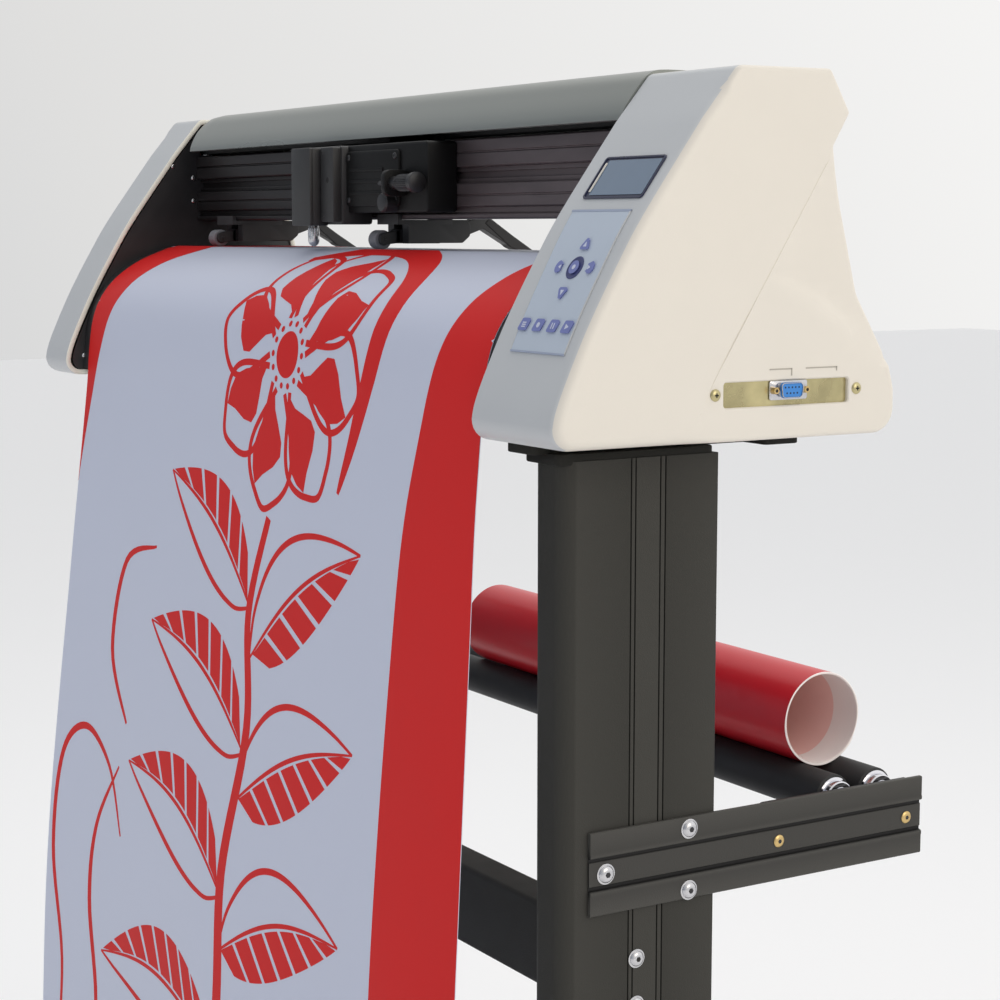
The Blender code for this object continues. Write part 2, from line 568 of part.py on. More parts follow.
casters = []
for side in ("right", "left"):
    sx = sum(both((-91.3, -41.3), side)) / 2
    for end, cy in zip(("front", "rear"), CASTER_Y):
        wx, wz = sx - CASTER_TRAIL, floor_z(CASTER_R)
        tag = f"{end}_{side}_caster"
        top = floor_z(FOOT_Z[0]) - GAP
        fork = rod(tag + "_fork", 17.0, top - 8.0, top, (sx, cy), "z", 24)
        cheek = [(sx - 16, top - 5), (wx - 7, wz - 4), (wx - 2, wz - 8), (wx + 6, wz - 4),
                 (sx + 16, top - 5)]
        join(fork, *[prism("cheek", cheek, cy + y, cy + y + 2.5, "y")
                     for y in (-11.5, 9.0)],
             rod("pin", 3.0, cy - 11.0, cy + 11.0, (wx, wz), "y", 16))
        wheel = lathe(tag + "_wheel", [(cy - 8.0, CASTER_R - 3), (cy - 5.5, CASTER_R),
                                       (cy + 5.5, CASTER_R), (cy + 8.0, CASTER_R - 3)],
                      (wx, wz), "y")
        cut(wheel, rod("bore", 3.3, cy - 12, cy + 12, (wx, wz), "y"))
        casters.append((fork, wheel, (sx, cy, top), (wx, cy, wz)))

# --- materials and origins -------------------------------------------------------------
for obj in (right_cover, left_cover):
    finish(obj, cream, smooth=30)
for obj in (right_plate, left_plate, bed, carriage, tool):
    finish(obj, black)
finish(hood, sage)
finish(beam, rail)
finish(io_plate, zinc)
finish(serial, steel)
finish(board, green)
finish(inlet, black)
pivot_n = Vector(back_slope).normalized()
finish(switch, black, (-30.0, switch_spot[0] - pivot_n[1] * 2.5,
                       switch_spot[1] + pivot_n[0] * 2.5))
finish(overlay, label)
finish(lcd, glass)
for name, key in keys.items():
    (ky, kz), _ = face_at(KEYS[name][1])
    finish(key, key_blue, (KEYS[name][0], ky, kz))
finish(feed_motor, black)
finish(feed_pulley, steel, (-80.0, *MOTOR_YZ))
finish(grit, steel, (-440.0, NIP_Y, GRIT_Z))
finish(feed_belt, rubber)
finish(carriage_motor, black)
for wheel, px in zip(pulleys, (DRIVE_X, IDLER_X)):
    finish(wheel, steel, (px, BELT_Y, 206.0))
finish(carriage_belt, rubber)
finish(knob, steel, (-350.0, 92.0, 168.0))
finish(holder, steel, (TOOL_X, TOOL_Y, 140.0))
for side, (px, bracket, arm, roller) in pinch.items():
    finish(bracket, black, (px, BEAM_Y[0], BEAM_Z[0]))
    finish(arm, charcoal, (px, py, pz))
    finish(roller, rubber, (px - 5.5, NIP_Y, PINCH_Z))
finish(sheet, film)
for column, foot, arm in stand.values():
    for obj in (column, foot, arm):
        finish(obj, charcoal)
finish(crossbar, charcoal)
for obj, ry in zip(rollers, ROLLER_Y):
    finish(obj, rubber, (-440.0, ry, ROLLER_Z))
finish(roll, red, (sum(ROLL_X) / 2, roll_y, roll_z))
for fork, wheel, swivel, hub in casters:
    finish(fork, steel, swivel)
    finish(wheel, tyre, hub)
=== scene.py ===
"""Looks for the vinyl cutting plotter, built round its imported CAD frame.

Lengths in the builders are millimetres from the right cover's outer side (x,
negative leftwards), the front of the covers (y, positive rearwards) and the
underside of the covers (z), as in the CAD source.  at() turns them into metres
in the frame's own axes.
"""
import json
import math

import bmesh
import bpy
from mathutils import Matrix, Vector
from mathutils.geometry import delaunay_2d_cdt

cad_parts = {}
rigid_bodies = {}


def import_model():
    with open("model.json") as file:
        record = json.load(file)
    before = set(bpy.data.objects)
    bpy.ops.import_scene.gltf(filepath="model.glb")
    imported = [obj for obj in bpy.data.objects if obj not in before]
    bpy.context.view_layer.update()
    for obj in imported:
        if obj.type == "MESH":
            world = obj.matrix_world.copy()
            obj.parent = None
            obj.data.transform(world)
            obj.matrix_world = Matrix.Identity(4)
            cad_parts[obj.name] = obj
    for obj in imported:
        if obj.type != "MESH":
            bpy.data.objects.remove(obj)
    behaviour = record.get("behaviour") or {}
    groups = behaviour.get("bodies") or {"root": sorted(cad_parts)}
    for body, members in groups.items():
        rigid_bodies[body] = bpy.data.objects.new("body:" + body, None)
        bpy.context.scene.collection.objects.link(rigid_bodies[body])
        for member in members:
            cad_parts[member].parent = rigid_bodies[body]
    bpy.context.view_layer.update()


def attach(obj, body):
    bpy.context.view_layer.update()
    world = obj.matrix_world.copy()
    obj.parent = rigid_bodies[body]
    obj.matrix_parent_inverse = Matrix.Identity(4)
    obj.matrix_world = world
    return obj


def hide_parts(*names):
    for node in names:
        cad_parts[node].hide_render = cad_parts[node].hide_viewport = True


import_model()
scene = bpy.context.scene

HEAD, MID_X, MID_Y = 840, 437.5, -110
R_OUT, R_IN, L_IN, L_OUT = 0, -97.2, -818.6, -877.5
MIDDLE = -440


def at(x, y, z):
    return Vector((x + MID_X, y + MID_Y, z + HEAD)) * 0.001


def mirror(x):
    return 2 * MIDDLE - x


# --- materials -------------------------------
def wire(tree, node, **inputs):
    """Set a node's inputs by name, or link those that are given as sockets."""
    for key, value in inputs.items():
        socket = node.inputs[key.replace("_", " ")]
        if isinstance(value, bpy.types.NodeSocket):
            tree.links.new(value, socket)
        else:
            socket.default_value = value


def add_node(tree, kind, out, **inputs):
    """New shader node with its inputs wired; gives the output called out."""
    node = tree.nodes.new("ShaderNode" + kind)
    if kind == "Mix":
        node.data_type = "RGBA"
    wire(tree, node, **inputs)
    return node.outputs[out]


def material(name, colour, rough, metal=0, mottle=0.04, cloud=60, grain=0,
             grit=900, rough_var=0.08, coat=0, spec=0.5, stretch=(1, 1, 1),
             wear=0, worn=None, painted_shade=None):
    """Principled surface with noise in its colour, roughness and bump.

    cloud and grit are the noise scales of the mottle and the grain, wear is the
    share of the worn colour on sharp edges, and painted_shade is (from x, to x, darkest):
    painted shade that darkens the colour towards low x.
    """
    mat = bpy.data.materials.new(name)
    mat.use_nodes = True
    tree = mat.node_tree
    new = lambda *kind, **inputs: add_node(tree, *kind, **inputs)
    shaded = lambda share: (*[min(1, c * share) for c in colour], 1)
    place = new("TexCoord", "Object")
    spread = new("Mapping", "Vector", Vector=place, Scale=stretch)
    noise = new("TexNoise", "Fac", Vector=spread, Scale=cloud, Detail=4)
    shade = new("Mix", "Result", A=shaded(1 - mottle), B=shaded(1 + mottle), Factor=noise)
    if painted_shade:
        # painted shade: the colour darkens towards low x
        start, stop, darkest = painted_shade
        x = new("SeparateXYZ", "X", Vector=place)
        ease = new("MapRange", "Result", Value=x, From_Min=start, From_Max=stop)
        shade = new("Mix", "Result", A=shaded(darkest), B=shade, Factor=ease)
    if wear:
        edge = new("NewGeometry", "Pointiness")
        pick = new("MapRange", "Result", Value=edge, From_Min=0.53, From_Max=0.62,
                   To_Max=wear)
        shade = new("Mix", "Result", A=shade, B=(*worn, 1), Factor=pick)
    gloss = new("MapRange", "Result", Value=noise, To_Min=max(0.02, rough - rough_var),
                To_Max=min(1, rough + rough_var))
    bsdf = tree.nodes["Principled BSDF"]
    wire(tree, bsdf, Metallic=metal, Coat_Weight=coat, Coat_Roughness=0.12,
         Specular_IOR_Level=spec, Base_Color=shade, Roughness=gloss)
    if grain:
        fine = new("TexNoise", "Fac", Vector=spread, Scale=grit, Detail=3)
        wire(tree, bsdf, Normal=new("Bump", "Normal", Strength=1, Distance=grain,
                                    Height=fine))
    return mat


CREAM = material("cream_moulding", (0.735, 0.692, 0.622), 0.42, mottle=0.018, cloud=25,
    grain=0.00006, grit=1400, rough_var=0.05)
# grey-blue for the cream covers' front faces: painted shade with a painted bluish reflection
FRONT_SHADE_GREY = material("cover_front_painted_shade", (0.55, 0.565, 0.58), 0.40, mottle=0.02, cloud=25,
    grain=0.00005, grit=1400, rough_var=0.05)
SAGE = material("sage_metallic", (0.25, 0.265, 0.25), 0.30, metal=0.5, mottle=0.05, cloud=18,
    grain=0.00003, grit=2500, stretch=(0.15, 1, 1))
BLACK = material("black_satin", (0.014, 0.014, 0.016), 0.42, mottle=0.15, grain=0.00004,
    grit=1600, wear=0.25, worn=(0.12, 0.12, 0.12))
# the beam is darkened left of the carriage by a painted shadow ramp along x, the hood's shadow
BEAM = material("beam_anodised_painted_shade", (0.105, 0.084, 0.088), 0.40, metal=0.5, mottle=0.7,
    spec=0.25, cloud=34, stretch=(0.3, 1, 1), grain=0.00004, grit=1200, wear=0.3,
    worn=(0.25, 0.24, 0.25), painted_shade=(-0.09, 0.02, 0.10))
POWDER = material("charcoal_powder", (0.0072, 0.0071, 0.0060), 0.58, spec=0.10, mottle=0.12,
    cloud=45, grain=0.00016, grit=1100, rough_var=0.1, wear=0.35,
    worn=(0.16, 0.155, 0.14))
ARM = material("charcoal_arm", (0.0122, 0.0118, 0.0120), 0.5, spec=0.2, mottle=0.12,
    cloud=45, grain=0.00014, grit=1100, rough_var=0.1, wear=0.4,
    worn=(0.16, 0.155, 0.14))
STEEL = material("turned_steel", (0.58, 0.58, 0.60), 0.24, metal=1, mottle=0.06, cloud=200,
    rough_var=0.1)
CHROME = material("chrome_plate", (0.74, 0.74, 0.78), 0.09, metal=1, mottle=0.03,
    rough_var=0.05)
BRASS = material("brass_plate", (0.62, 0.45, 0.20), 0.3, metal=1, mottle=0.08, cloud=300)
RUBBER = material("black_rubber", (0.016, 0.016, 0.017), 0.62, mottle=0.2, cloud=80,
    grain=0.00005, grit=1500)
GREY_RUBBER = material("grey_rubber", (0.115, 0.115, 0.125), 0.55, mottle=0.15, cloud=120,
    grain=0.00005, grit=1500)
LABEL = material("keypad_membrane", (0.50, 0.565, 0.66), 0.38, mottle=0.03, cloud=40,
    grain=0.00004, grit=1800)
KEY = material("key_violet", (0.17, 0.20, 0.47), 0.4, mottle=0.12, cloud=400)
KEY_DARK = material("key_navy", (0.035, 0.045, 0.16), 0.4, mottle=0.1, cloud=400)
NAVY = material("display_frame", (0.018, 0.022, 0.060), 0.3, mottle=0.1)
LCD = material("display_glass", (0.092, 0.155, 0.245), 0.16, mottle=0.06, cloud=45, coat=0.8)
ZINC = material("yellow_zinc", (0.50, 0.44, 0.24), 0.30, metal=0.8, mottle=0.55, cloud=38,
    rough_var=0.12)
INSERT = material("connector_blue", (0.035, 0.22, 0.62), 0.4, mottle=0.05)
BOARD = material("solder_mask", (0.012, 0.15, 0.06), 0.4, mottle=0.2, cloud=300)
BACKING = material("film_backing", (0.60, 0.635, 0.765), 0.42, mottle=0.012, cloud=9,
    rough_var=0.05, spec=0.3)
RED = material("red_film", (0.68, 0.020, 0.020), 0.45, mottle=0.04, cloud=9, rough_var=0.06,
    spec=0.08)
ROLL_RED = material("red_film_roll", (0.66, 0.010, 0.022), 0.36, mottle=0.07, cloud=15,
    stretch=(0.2, 1, 1), coat=0.1, spec=0.35)
PAPER = material("white_liner", (0.92, 0.85, 0.83), 0.5, mottle=0.03, cloud=30)
# lighter cream for the left cover's lip: painted highlight along its edge
LIP_HIGHLIGHT_CREAM = material("cream_lip_painted_highlight", (0.86, 0.84, 0.74), 0.42, mottle=0.02, grain=0.00004,
    grit=1400)
NIP = material("nip_rubber", (0.24, 0.24, 0.26), 0.45, mottle=0.15, cloud=120, grain=0.00005,
    grit=1500)
# pink, light inside of the paper tube: painted glow of light through the red film, lightened
# against its shade
BORE_GLOW = material("liner_painted_red_glow", (0.95, 0.60, 0.56), 0.5, mottle=0.14, cloud=22)
# darker cream for the engraved lines by the slot: painted shade of their grooves
GROOVE_SHADE = material("engraved_line_painted_shade", (0.40, 0.37, 0.32), 0.6, mottle=0.1)
LABEL_EDGE = material("label_edge", (0.33, 0.38, 0.50), 0.4, mottle=0.08)
# near-black for holes, sockets and drive recesses: painted shade in place of their depth
HOLE_SHADE = material("hole_painted_shade", (0.006, 0.006, 0.006), 0.7)
GUNMETAL = material("gunmetal", (0.055, 0.055, 0.058), 0.42, metal=0.9, mottle=0.1,
    cloud=150)
SHELL = material("carriage_shell_black", (0.0050, 0.0050, 0.0052), 0.5, mottle=0.15,
    grain=0.00006, grit=1400, spec=0.2, wear=0.15, worn=(0.06, 0.06, 0.06))
CASE = material("carriage_case", (0.021, 0.021, 0.022), 0.5, mottle=0.12, grain=0.00008,
    grit=1300, wear=0.2, worn=(0.12, 0.12, 0.12))
BELT = material("belt_rubber", (0.02, 0.02, 0.02), 0.6, mottle=0.2, grain=0.0001, grit=1500)


# --- mesh builders ---------------------------
def finish_mesh(obj, angle):
    """Weld, turn the faces outwards and shade smooth, sharp above an angle in degrees."""
    bm = bmesh.new()
    bm.from_mesh(obj.data)
    bmesh.ops.remove_doubles(bm, verts=bm.verts, dist=1e-6)
    bmesh.ops.recalc_face_normals(bm, faces=bm.faces)
    for face in bm.faces:
        face.smooth = True
    for edge in bm.edges:
        edge.smooth = edge.calc_face_angle(0) < math.radians(angle)
    bm.to_mesh(obj.data)
    bm.free()


def piece(name, parts, mats, body="machine", gone=(), angle=32, bevel=0, segments=2):
    """One object from (verts, faces, material index) parts, riding on a body."""
    mesh = bpy.data.meshes.new(name)
    verts, faces, slots = [], [], []
    for part in parts:
        v, f, m = part if len(part) == 3 else (*part, 0)
        k = len(verts)
        verts += [tuple(p) for p in v]
        faces += [tuple(i + k for i in face) for face in f]
        slots += [m] * len(f)
    mesh.from_pydata(verts, [], faces)
    for poly, m in zip(mesh.polygons, slots):
        poly.material_index = m
    obj = bpy.data.objects.new(name, mesh)
    scene.collection.objects.link(obj)
    for mat in (mats if isinstance(mats, (list, tuple)) else [mats]):
        mesh.materials.append(mat)
    finish_mesh(obj, angle)
    if bevel:
        mod = obj.modifiers.new("edges", "BEVEL")
        mod.width, mod.segments = bevel * 0.001, segments
        mod.limit_method, mod.angle_limit = "ANGLE", math.radians(40)
        mod.use_clamp_overlap = True
        mod.harden_normals = True
    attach(obj, body)
    if gone:
        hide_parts(*([gone] if isinstance(gone, str) else gone))
    return obj


PLACE = {"x": lambda p, t: at(t, p[0], p[1]), "y": lambda p, t: at(p[0], t, p[1]),
         "z": lambda p, t: at(p[0], p[1], t)}


def skin(loops, m=0, caps=False):
    """Surface through loops of equally many points, with both ends closed by caps."""
    n, last = len(loops[0]), len(loops) - 1
    faces = [(s * n + k, s * n + (k + 1) % n, (s + 1) * n + (k + 1) % n, (s + 1) * n + k)
             for s in range(last) for k in range(n)]
    if caps:
        faces += [tuple(range(n))[::-1], tuple(range(last * n, last * n + n))]
    return [p for loop in loops for p in loop], faces, m


def rings(loops, axis="x", m=0, caps=True):
    """Skin through (position along the axis, outline) loops."""
    return skin([[PLACE[axis](p, t) for p in line] for t, line in loops], m, caps)


def prism(line, lo, hi, axis="x", m=0):
    return rings([(lo, line), (hi, line)], axis, m)


def box(x, y, z, m=0):
    return prism([(y[0], z[0]), (y[1], z[0]), (y[1], z[1]), (y[0], z[1])], *x, m=m)


def polar(centre, radii):
    """Closed outline with a radius in each of its evenly spaced directions."""
    n = len(radii)
    return [(centre[0] + r * math.cos(2 * math.pi * k / n),
             centre[1] + r * math.sin(2 * math.pi * k / n)) for k, r in enumerate(radii)]


def lathe(stations, centre, axis="x", sides=48, m=0):
    return rings([(t, polar(centre, [r] * sides)) for t, r in stations], axis, m)


def knurled(stations, centre, axis, teeth, cut, m=0):
    """Turned part whose marked stations carry fine teeth."""
    return rings([(t, polar(centre, [r - (cut if rough and k % 4 > 1 else 0)
                                     for k in range(teeth * 4)]))
                  for t, r, rough in stations], axis, m)


def spline(points, steps):
    """Catmull-Rom curve through the points, steps per span."""
    ends = [Vector(p) for p in [points[0], *points, points[-1]]]
    out = []
    for p0, p1, p2, p3 in zip(ends, ends[1:], ends[2:], ends[3:]):
        for t in [k / steps for k in range(steps)]:
            out.append(tuple(0.5 * (2 * p1 + (p2 - p0) * t
                                    + (2 * p0 - 5 * p1 + 4 * p2 - p3) * t * t
                                    + (3 * p1 - p0 - 3 * p2 + p3) * t ** 3)))
    return out + [tuple(points[-1])]


def shifted(path, d, closed=False):
    """Path moved sideways by d, to the left of its direction of travel."""
    out, n = [], len(path)
    for i, p in enumerate(path):
        a = path[(i - 1) % n] if closed or i else p
        b = path[(i + 1) % n] if closed or i < n - 1 else p
        u, v = Vector(p) - Vector(a), Vector(b) - Vector(p)
        u = u.normalized() if u.length > 0 else v.normalized()
        v = v.normalized() if v.length > 0 else u
        nu, nv = Vector((-u[1], u[0])), Vector((-v[1], v[0]))
        m = (nu + nv).normalized()
        out.append(tuple(Vector(p) + m * d / max(m.dot(nu), 0.4)))
    return out


def fillet(corners, n=6):
    """Closed outline from (x, y, radius) corners."""
    pts, count = [], len(corners)
    for i, (x, y, r) in enumerate(corners):
        p = Vector((x, y))
        if r <= 0:
            pts.append(tuple(p))
            continue
        a = (Vector(corners[i - 1][:2]) - p).normalized()
        b = (Vector(corners[(i + 1) % count][:2]) - p).normalized()
        half = math.acos(max(-1, min(1, a.dot(b)))) / 2
        reach = r / math.tan(half)
        mid = p + (a + b).normalized() * (r / math.sin(half))
        s, e = p + a * reach - mid, p + b * reach - mid
        a0, a1 = math.atan2(s[1], s[0]), math.atan2(e[1], e[0])
        turn = (a1 - a0 + math.pi) % (2 * math.pi) - math.pi
        for k in range(n + 1):
            t = a0 + turn * k / n
            pts.append((mid[0] + r * math.cos(t), mid[1] + r * math.sin(t)))
    return pts


def divided(line, most):
    """Closed outline with points added so that no side is longer than most."""
    out = []
    for a, b in zip(line, line[1:] + line[:1]):
        parts = max(1, math.ceil(math.hypot(b[0] - a[0], b[1] - a[1]) / most))
        out += [(a[0] + (b[0] - a[0]) * k / parts, a[1] + (b[1] - a[1]) * k / parts)
                for k in range(parts)]
    return out


def slab(x, y, z, r, axis="z", edge=1.2, n=6, m=0):
    """Plate with rounded corners and softened edges; axis is its thickness."""
    u, v, t = {"x": (y, z, x), "y": (x, z, y), "z": (x, y, z)}[axis]
    line = fillet([(u[0], v[0], r), (u[1], v[0], r), (u[1], v[1], r), (u[0], v[1], r)], n)
    soft = shifted(line, edge, closed=True)
    mid = shifted(line, edge * 0.3, closed=True)
    return rings([(t[0], soft), (t[0] + edge * 0.3, mid), (t[0] + edge, line),
                  (t[1] - edge, line), (t[1] - edge * 0.3, mid), (t[1], soft)], axis, m)


def screw(spot, axis="x", out=1, r=4, height=2.2, drive="cross", m=0, slot_m=1):
    """Domed head standing out of a face along +-axis, with its drive recess drawn as a cross
    or hex inset in slot_m; with the near-black hole material this is painted shade.
    """
    k = "xyz".index(axis)
    base = spot[k]
    centre = tuple(v for i, v in enumerate(spot) if i != k)
    step = lambda f: base + out * height * f
    dome = [(base, r), (step(0.3), r), (step(0.6), r * 0.9), (step(0.85), r * 0.7),
            (step(1), r * 0.42)]
    head = lathe(dome, centre, axis, 24, m)
    lo, hi = sorted((step(0.5), step(1.03)))
    if drive == "hex":
        return [head, lathe([(lo, r * 0.36), (hi, r * 0.36)], centre, axis, 6, slot_m)]
    (a, b), w, reach = centre, r * 0.12, r * 0.38
    return [head] + [prism([(a - u, b - v), (a + u, b - v), (a + u, b + v), (a - u, b + v)],
                           lo, hi, axis, slot_m) for u, v in ((w, reach), (reach, w))]


# --- side outline of the covers --------------
FRONT = [(0, 14), (2.2, 24), (9.5, 42.1), (25.6, 75.6), (46.8, 113),
         (66.2, 143.7), (109.7, 202.7)]
front_curve = spline(FRONT, 5)
outline = [(13.9 - 13.9 * math.sin(a), 13.9 - 13.9 * math.cos(a))
           for a in [math.radians(90 * k / 7) for k in range(7)]]
outline += front_curve[:-1]
outline += fillet([(109.7, 202.7, 0), (136.8, 235, 9), (210.6, 235.3, 4.5),
                   (226.8, 207.8, 3.5), (213.5, 185.8, 2.5), (238.5, 91.8, 25),
                   (262.4, 53.3, 25), (269.2, 29, 25), (269.2, 0, 17),
                   (13.9, 0, 0)], 7)[:-1]
outline = divided(outline, 8)


def smooth(a, b, t):
    """Rises from 0 at t = a to 1 at t = b with soft ends."""
    t = max(0, min(1, (t - a) / (b - a)))
    return t * t * (3 - 2 * t)


SEAM = [(213.4, 185.4), (172.8, 122), (119.3, 38.9), (102, 3)]
RIDGE = [(158, 101), (176, 97), (200, 87.5), (238.5, 63)]


def beyond(line, y, z):
    """Signed distance from a polyline, positive to its right."""
    best, side = 1e9, 1
    for a, b in zip(line, line[1:]):
        d = Vector((b[0] - a[0], b[1] - a[1]))
        q = Vector((y - a[0], z - a[1]))
        t = max(0, min(1, q.dot(d) / d.length_squared))
        off = q - d * t
        if off.length < best:
            best = off.length
            side = 1 if d[0] * q[1] - d[1] * q[0] > 0 else -1
    return best * side


def dent(y, z):
    """How far the side face lies inside its plane: the sunk panel behind the seam."""
    back = beyond(SEAM, y, z)
    if back < 0.4:
        return 0
    step = 0.35 + smooth(-1, 8, beyond(RIDGE, y, z)) * (
        1.2 * smooth(0.4, 3, back) + 2.4 * smooth(2, 30, back))
    return step * smooth(7, 22, z) * smooth(2, 14, 187 - z)


def edge_radius(p):
    """Radius of the cover's outer edge: wide along the front, small behind."""
    y, z = p
    front = smooth(0, 60, 140 - y + 0.25 * z) if z < 225 else 0
    return 3.4 + 3.8 * smooth(0, 1, front) * smooth(0, 30, 170 - y)


def inset_by(line, amounts):
    """Closed outline moved inwards by its own amount at each point."""
    one = shifted(line, -1, closed=True)
    return [(p[0] + (q[0] - p[0]) * a, p[1] + (q[1] - p[1]) * a)
            for p, q, a in zip(line, one, amounts)]


def cover(name, node, outer, inner, hole=None):
    """Moulded end cover: a shell with a rounded outer edge, seam and open lip."""
    s = 1 if outer > inner else -1
    wall, groove, chamfer, deep_end = 3, 0.8, 0.8, abs(outer - inner)
    right = s > 0
    x_at = lambda d: outer - s * d
    sink = lambda p: dent(*p) if right else 0
    n = len(outline)
    radii = [edge_radius(p) for p in outline]

    def ring(inset, depth, dented=0):
        """One loop; inset and depth are lengths, or functions of the edge radius."""
        ins = [inset(r) if callable(inset) else inset for r in radii]
        far = [depth(r) if callable(depth) else depth for r in radii]
        return [at(x_at(d + dented * sink(p)), *q)
                for p, q, d in zip(outline, inset_by(outline, ins), far)]

    outside = [ring(0, deep_end - 0.8), ring(0, 30), ring(0, 14, 0.5),
               ring(0, lambda r: r, 1)]
    outside += [ring(lambda r, a=a: r * (1 - math.cos(a)),
                     lambda r, a=a: r * (1 - math.sin(a)), 1)
                for a in [math.radians(15 * k) for k in range(1, 7)]]
    within = [ring(0.8, deep_end), ring(wall - 0.6, deep_end), ring(wall, deep_end - 0.6),
              ring(wall, 18), ring(wall, lambda r: r + 3, 1),
              ring(lambda r: r + 1.5, wall, 1)]
    parts = [skin(outside[::-1] + within)]
    # the side face holds the seam, the sloping panel and the slot
    rim = [Vector(p) for p in inset_by(outline, radii)]
    core = [Vector(p) for p in inset_by(outline, [r + 1.5 for r in radii])]
    pts, edges = list(rim), [(k, (k + 1) % n) for k in range(n)]

    def add(poly, closed=False):
        k0 = len(pts)
        pts.extend(Vector(p) for p in poly)
        edges.extend((k0 + i, k0 + i + 1) for i in range(len(poly) - 1))
        if closed:
            edges.append((k0 + len(poly) - 1, k0))

    if right:
        seam = spline([(209.6, 179)] + SEAM[1:-1] + [(104.8, 9)], 8)
        for off in (-0.6, 0, 0.6):
            add(shifted(seam, off))
        step = spline([(166, 99.5)] + RIDGE[1:-1] + [(228, 69.7)], 5)
        for off in (-1, 2, 5, 8):
            add(shifted(step, off))
    around = lambda grow: [Vector(q) for q in hole_ring(hole, grow)] if hole else []
    slot, bevel, guard = around(0), around(0.4), around(3)
    for gy in range(15, 260, 8):
        for gz in range(12, 232, 8):
            p = Vector((gy + (gz % 3) * 0.1, gz))
            on_line = right and (abs(beyond(SEAM, *p)) < 3 or -4 < beyond(RIDGE, *p) < 10)
            if (inside(p, rim) and min((p - q).length for q in rim) >= 6
                    and not on_line and not inside(p, guard)):
                pts.append(p)
    if hole:
        add(hole_ring(hole, 0), True)
        add(hole_ring(hole, 0.8), True)
    vs, _, tris, *_ = delaunay_2d_cdt(pts, edges, [], 1, 1e-4)
    nearest = lambda p, points: min(range(len(points)), key=lambda i: (points[i] - p).length)
    front, rear = [], []
    for v in vs:
        k = nearest(v, rim)
        on_rim = (rim[k] - v).length < 1e-3
        d = sink(outline[k] if on_rim else v)
        rear.append(at(x_at(d + wall), *(core[k] if on_rim else v)))
        if right and abs(beyond(SEAM, *v)) < 0.3 and v[1] < 177.5:
            d += groove * smooth(9, 26, v[1])
        front.append(at(x_at(d + (chamfer if inside(v, bevel) else 0)), *v))
    faces = [t for t in tris
             if not inside(sum((vs[i] for i in t), Vector((0, 0))) / len(t), slot)]
    parts += [(front, faces, 0), (rear, faces, 0)]
    if hole:
        ks = [nearest(q, vs) for q in slot]
        parts.append(skin([[front[k] for k in ks], [rear[k] for k in ks]]))
    obj = piece(name, parts, [CREAM, FRONT_SHADE_GREY], gone=node, angle=24)
    # faces turned to the front take the grey-blue: painted shade of the front
    for poly in obj.data.polygons:
        x, y, z = poly.center
        if poly.normal.y < -0.3 and abs(x * 1000 - MID_X - outer) > 3.4 and z > HEAD / 1000:
            poly.material_index = 1
    return obj


def inside(p, poly):
    """Whether a point lies in a closed outline; never in an empty one."""
    hit = False
    for a, b in zip(poly, poly[1:] + poly[:1]):
        if (a[1] > p[1]) != (b[1] > p[1]):
            if p[0] < (b[0] - a[0]) * (p[1] - a[1]) / (b[1] - a[1]) + a[0]:
                hit = not hit
    return hit


def hole_ring(hole, grow):
    (y0, y1), (z0, z1) = hole
    r = 2 + grow
    return fillet([(y0 - grow, z0 - grow, r), (y1 + grow, z0 - grow, r),
                   (y1 + grow, z1 + grow, r), (y0 - grow, z1 + grow, r)], 4)


cover("cover_right", "right_cover", R_OUT, R_IN, hole=((127.4, 229), (21.6, 37.8)))
left = cover("cover_left", "left_cover", L_OUT, L_IN)
# a lighter ring along the left cover's inner lip: painted highlight of the edge
lip = [(-2.4, 0.3), (-0.3, 0.3), (0.2, 0.9), (0.2, 4), (-0.3, 4.6), (-2.4, 4.6), (-2.4, 0.3)]
bead = piece("cover_left_bead",
             [rings([(L_IN + x, inset_by(outline, [d] * len(outline))) for x, d in lip],
                    caps=False)], LIP_HIGHLIGHT_CREAM, angle=40)
for obj in (left, bead):
    for v in obj.data.vertices:
        v.co.y -= 0.004 * (1 - smooth(150, 235, v.co.y * 1000 - MID_Y))
for k, (py, pz) in enumerate(((120.6, 30.2), (235.6, 30.4))):
    piece(f"cover_screw_{k}", screw((-0.6, py, pz), r=3.9, height=1.8),
          [ZINC, HOLE_SHADE])
# the engraved lines by the slot are thin darker strips standing just proud: painted shade, not
# cut grooves
MARKS = [(163.5, 181.5, 44.6, 45.4), (181, 181.8, 40.6, 45.4),
         (193, 219, 44.6, 45.4), (218.3, 219, 42.6, 45.4)]
piece("slot_marks", [box((-0.9, -0.1), m[:2], m[2:]) for m in MARKS], GROOVE_SHADE)


def face_at(z):
    """Point and upward direction of the cover's front face at height z."""
    for a, b in zip(front_curve, front_curve[1:]):
        if a[1] <= z <= b[1]:
            f = (z - a[1]) / (b[1] - a[1])
            return Vector((a[0] + f * (b[0] - a[0]), z)), Vector(
                (b[0] - a[0], b[1] - a[1])).normalized()


def face_plate(x, spot, t, line, levels, m=0, side=1):
    """Plate on a sloping face: outline in (x, up the face), levels (grown, out of it)."""
    out = Vector((-t[1], t[0])) * side
    return skin([[at(x + u, *(spot + t * v + out * height))
                  for u, v in (shifted(line, grow, closed=True) if grow else line)]
                 for grow, height in levels], m, True)


def rect(w, h, r=0, n=4, x=0, y=0):
    return fillet([(x - w / 2, y - h / 2, r), (x + w / 2, y - h / 2, r),
                   (x + w / 2, y + h / 2, r), (x - w / 2, y + h / 2, r)], n)


# --- side plates, with the screws that hold the bed and beam ---
frame_nodes = {o.name: o for o in bpy.data.objects}


def restyle(mat, *nodes):
    for name in nodes:
        obj = frame_nodes[name]
        for slot in obj.material_slots:
            slot.material = mat
        if not obj.material_slots:
            obj.data.materials.append(mat)


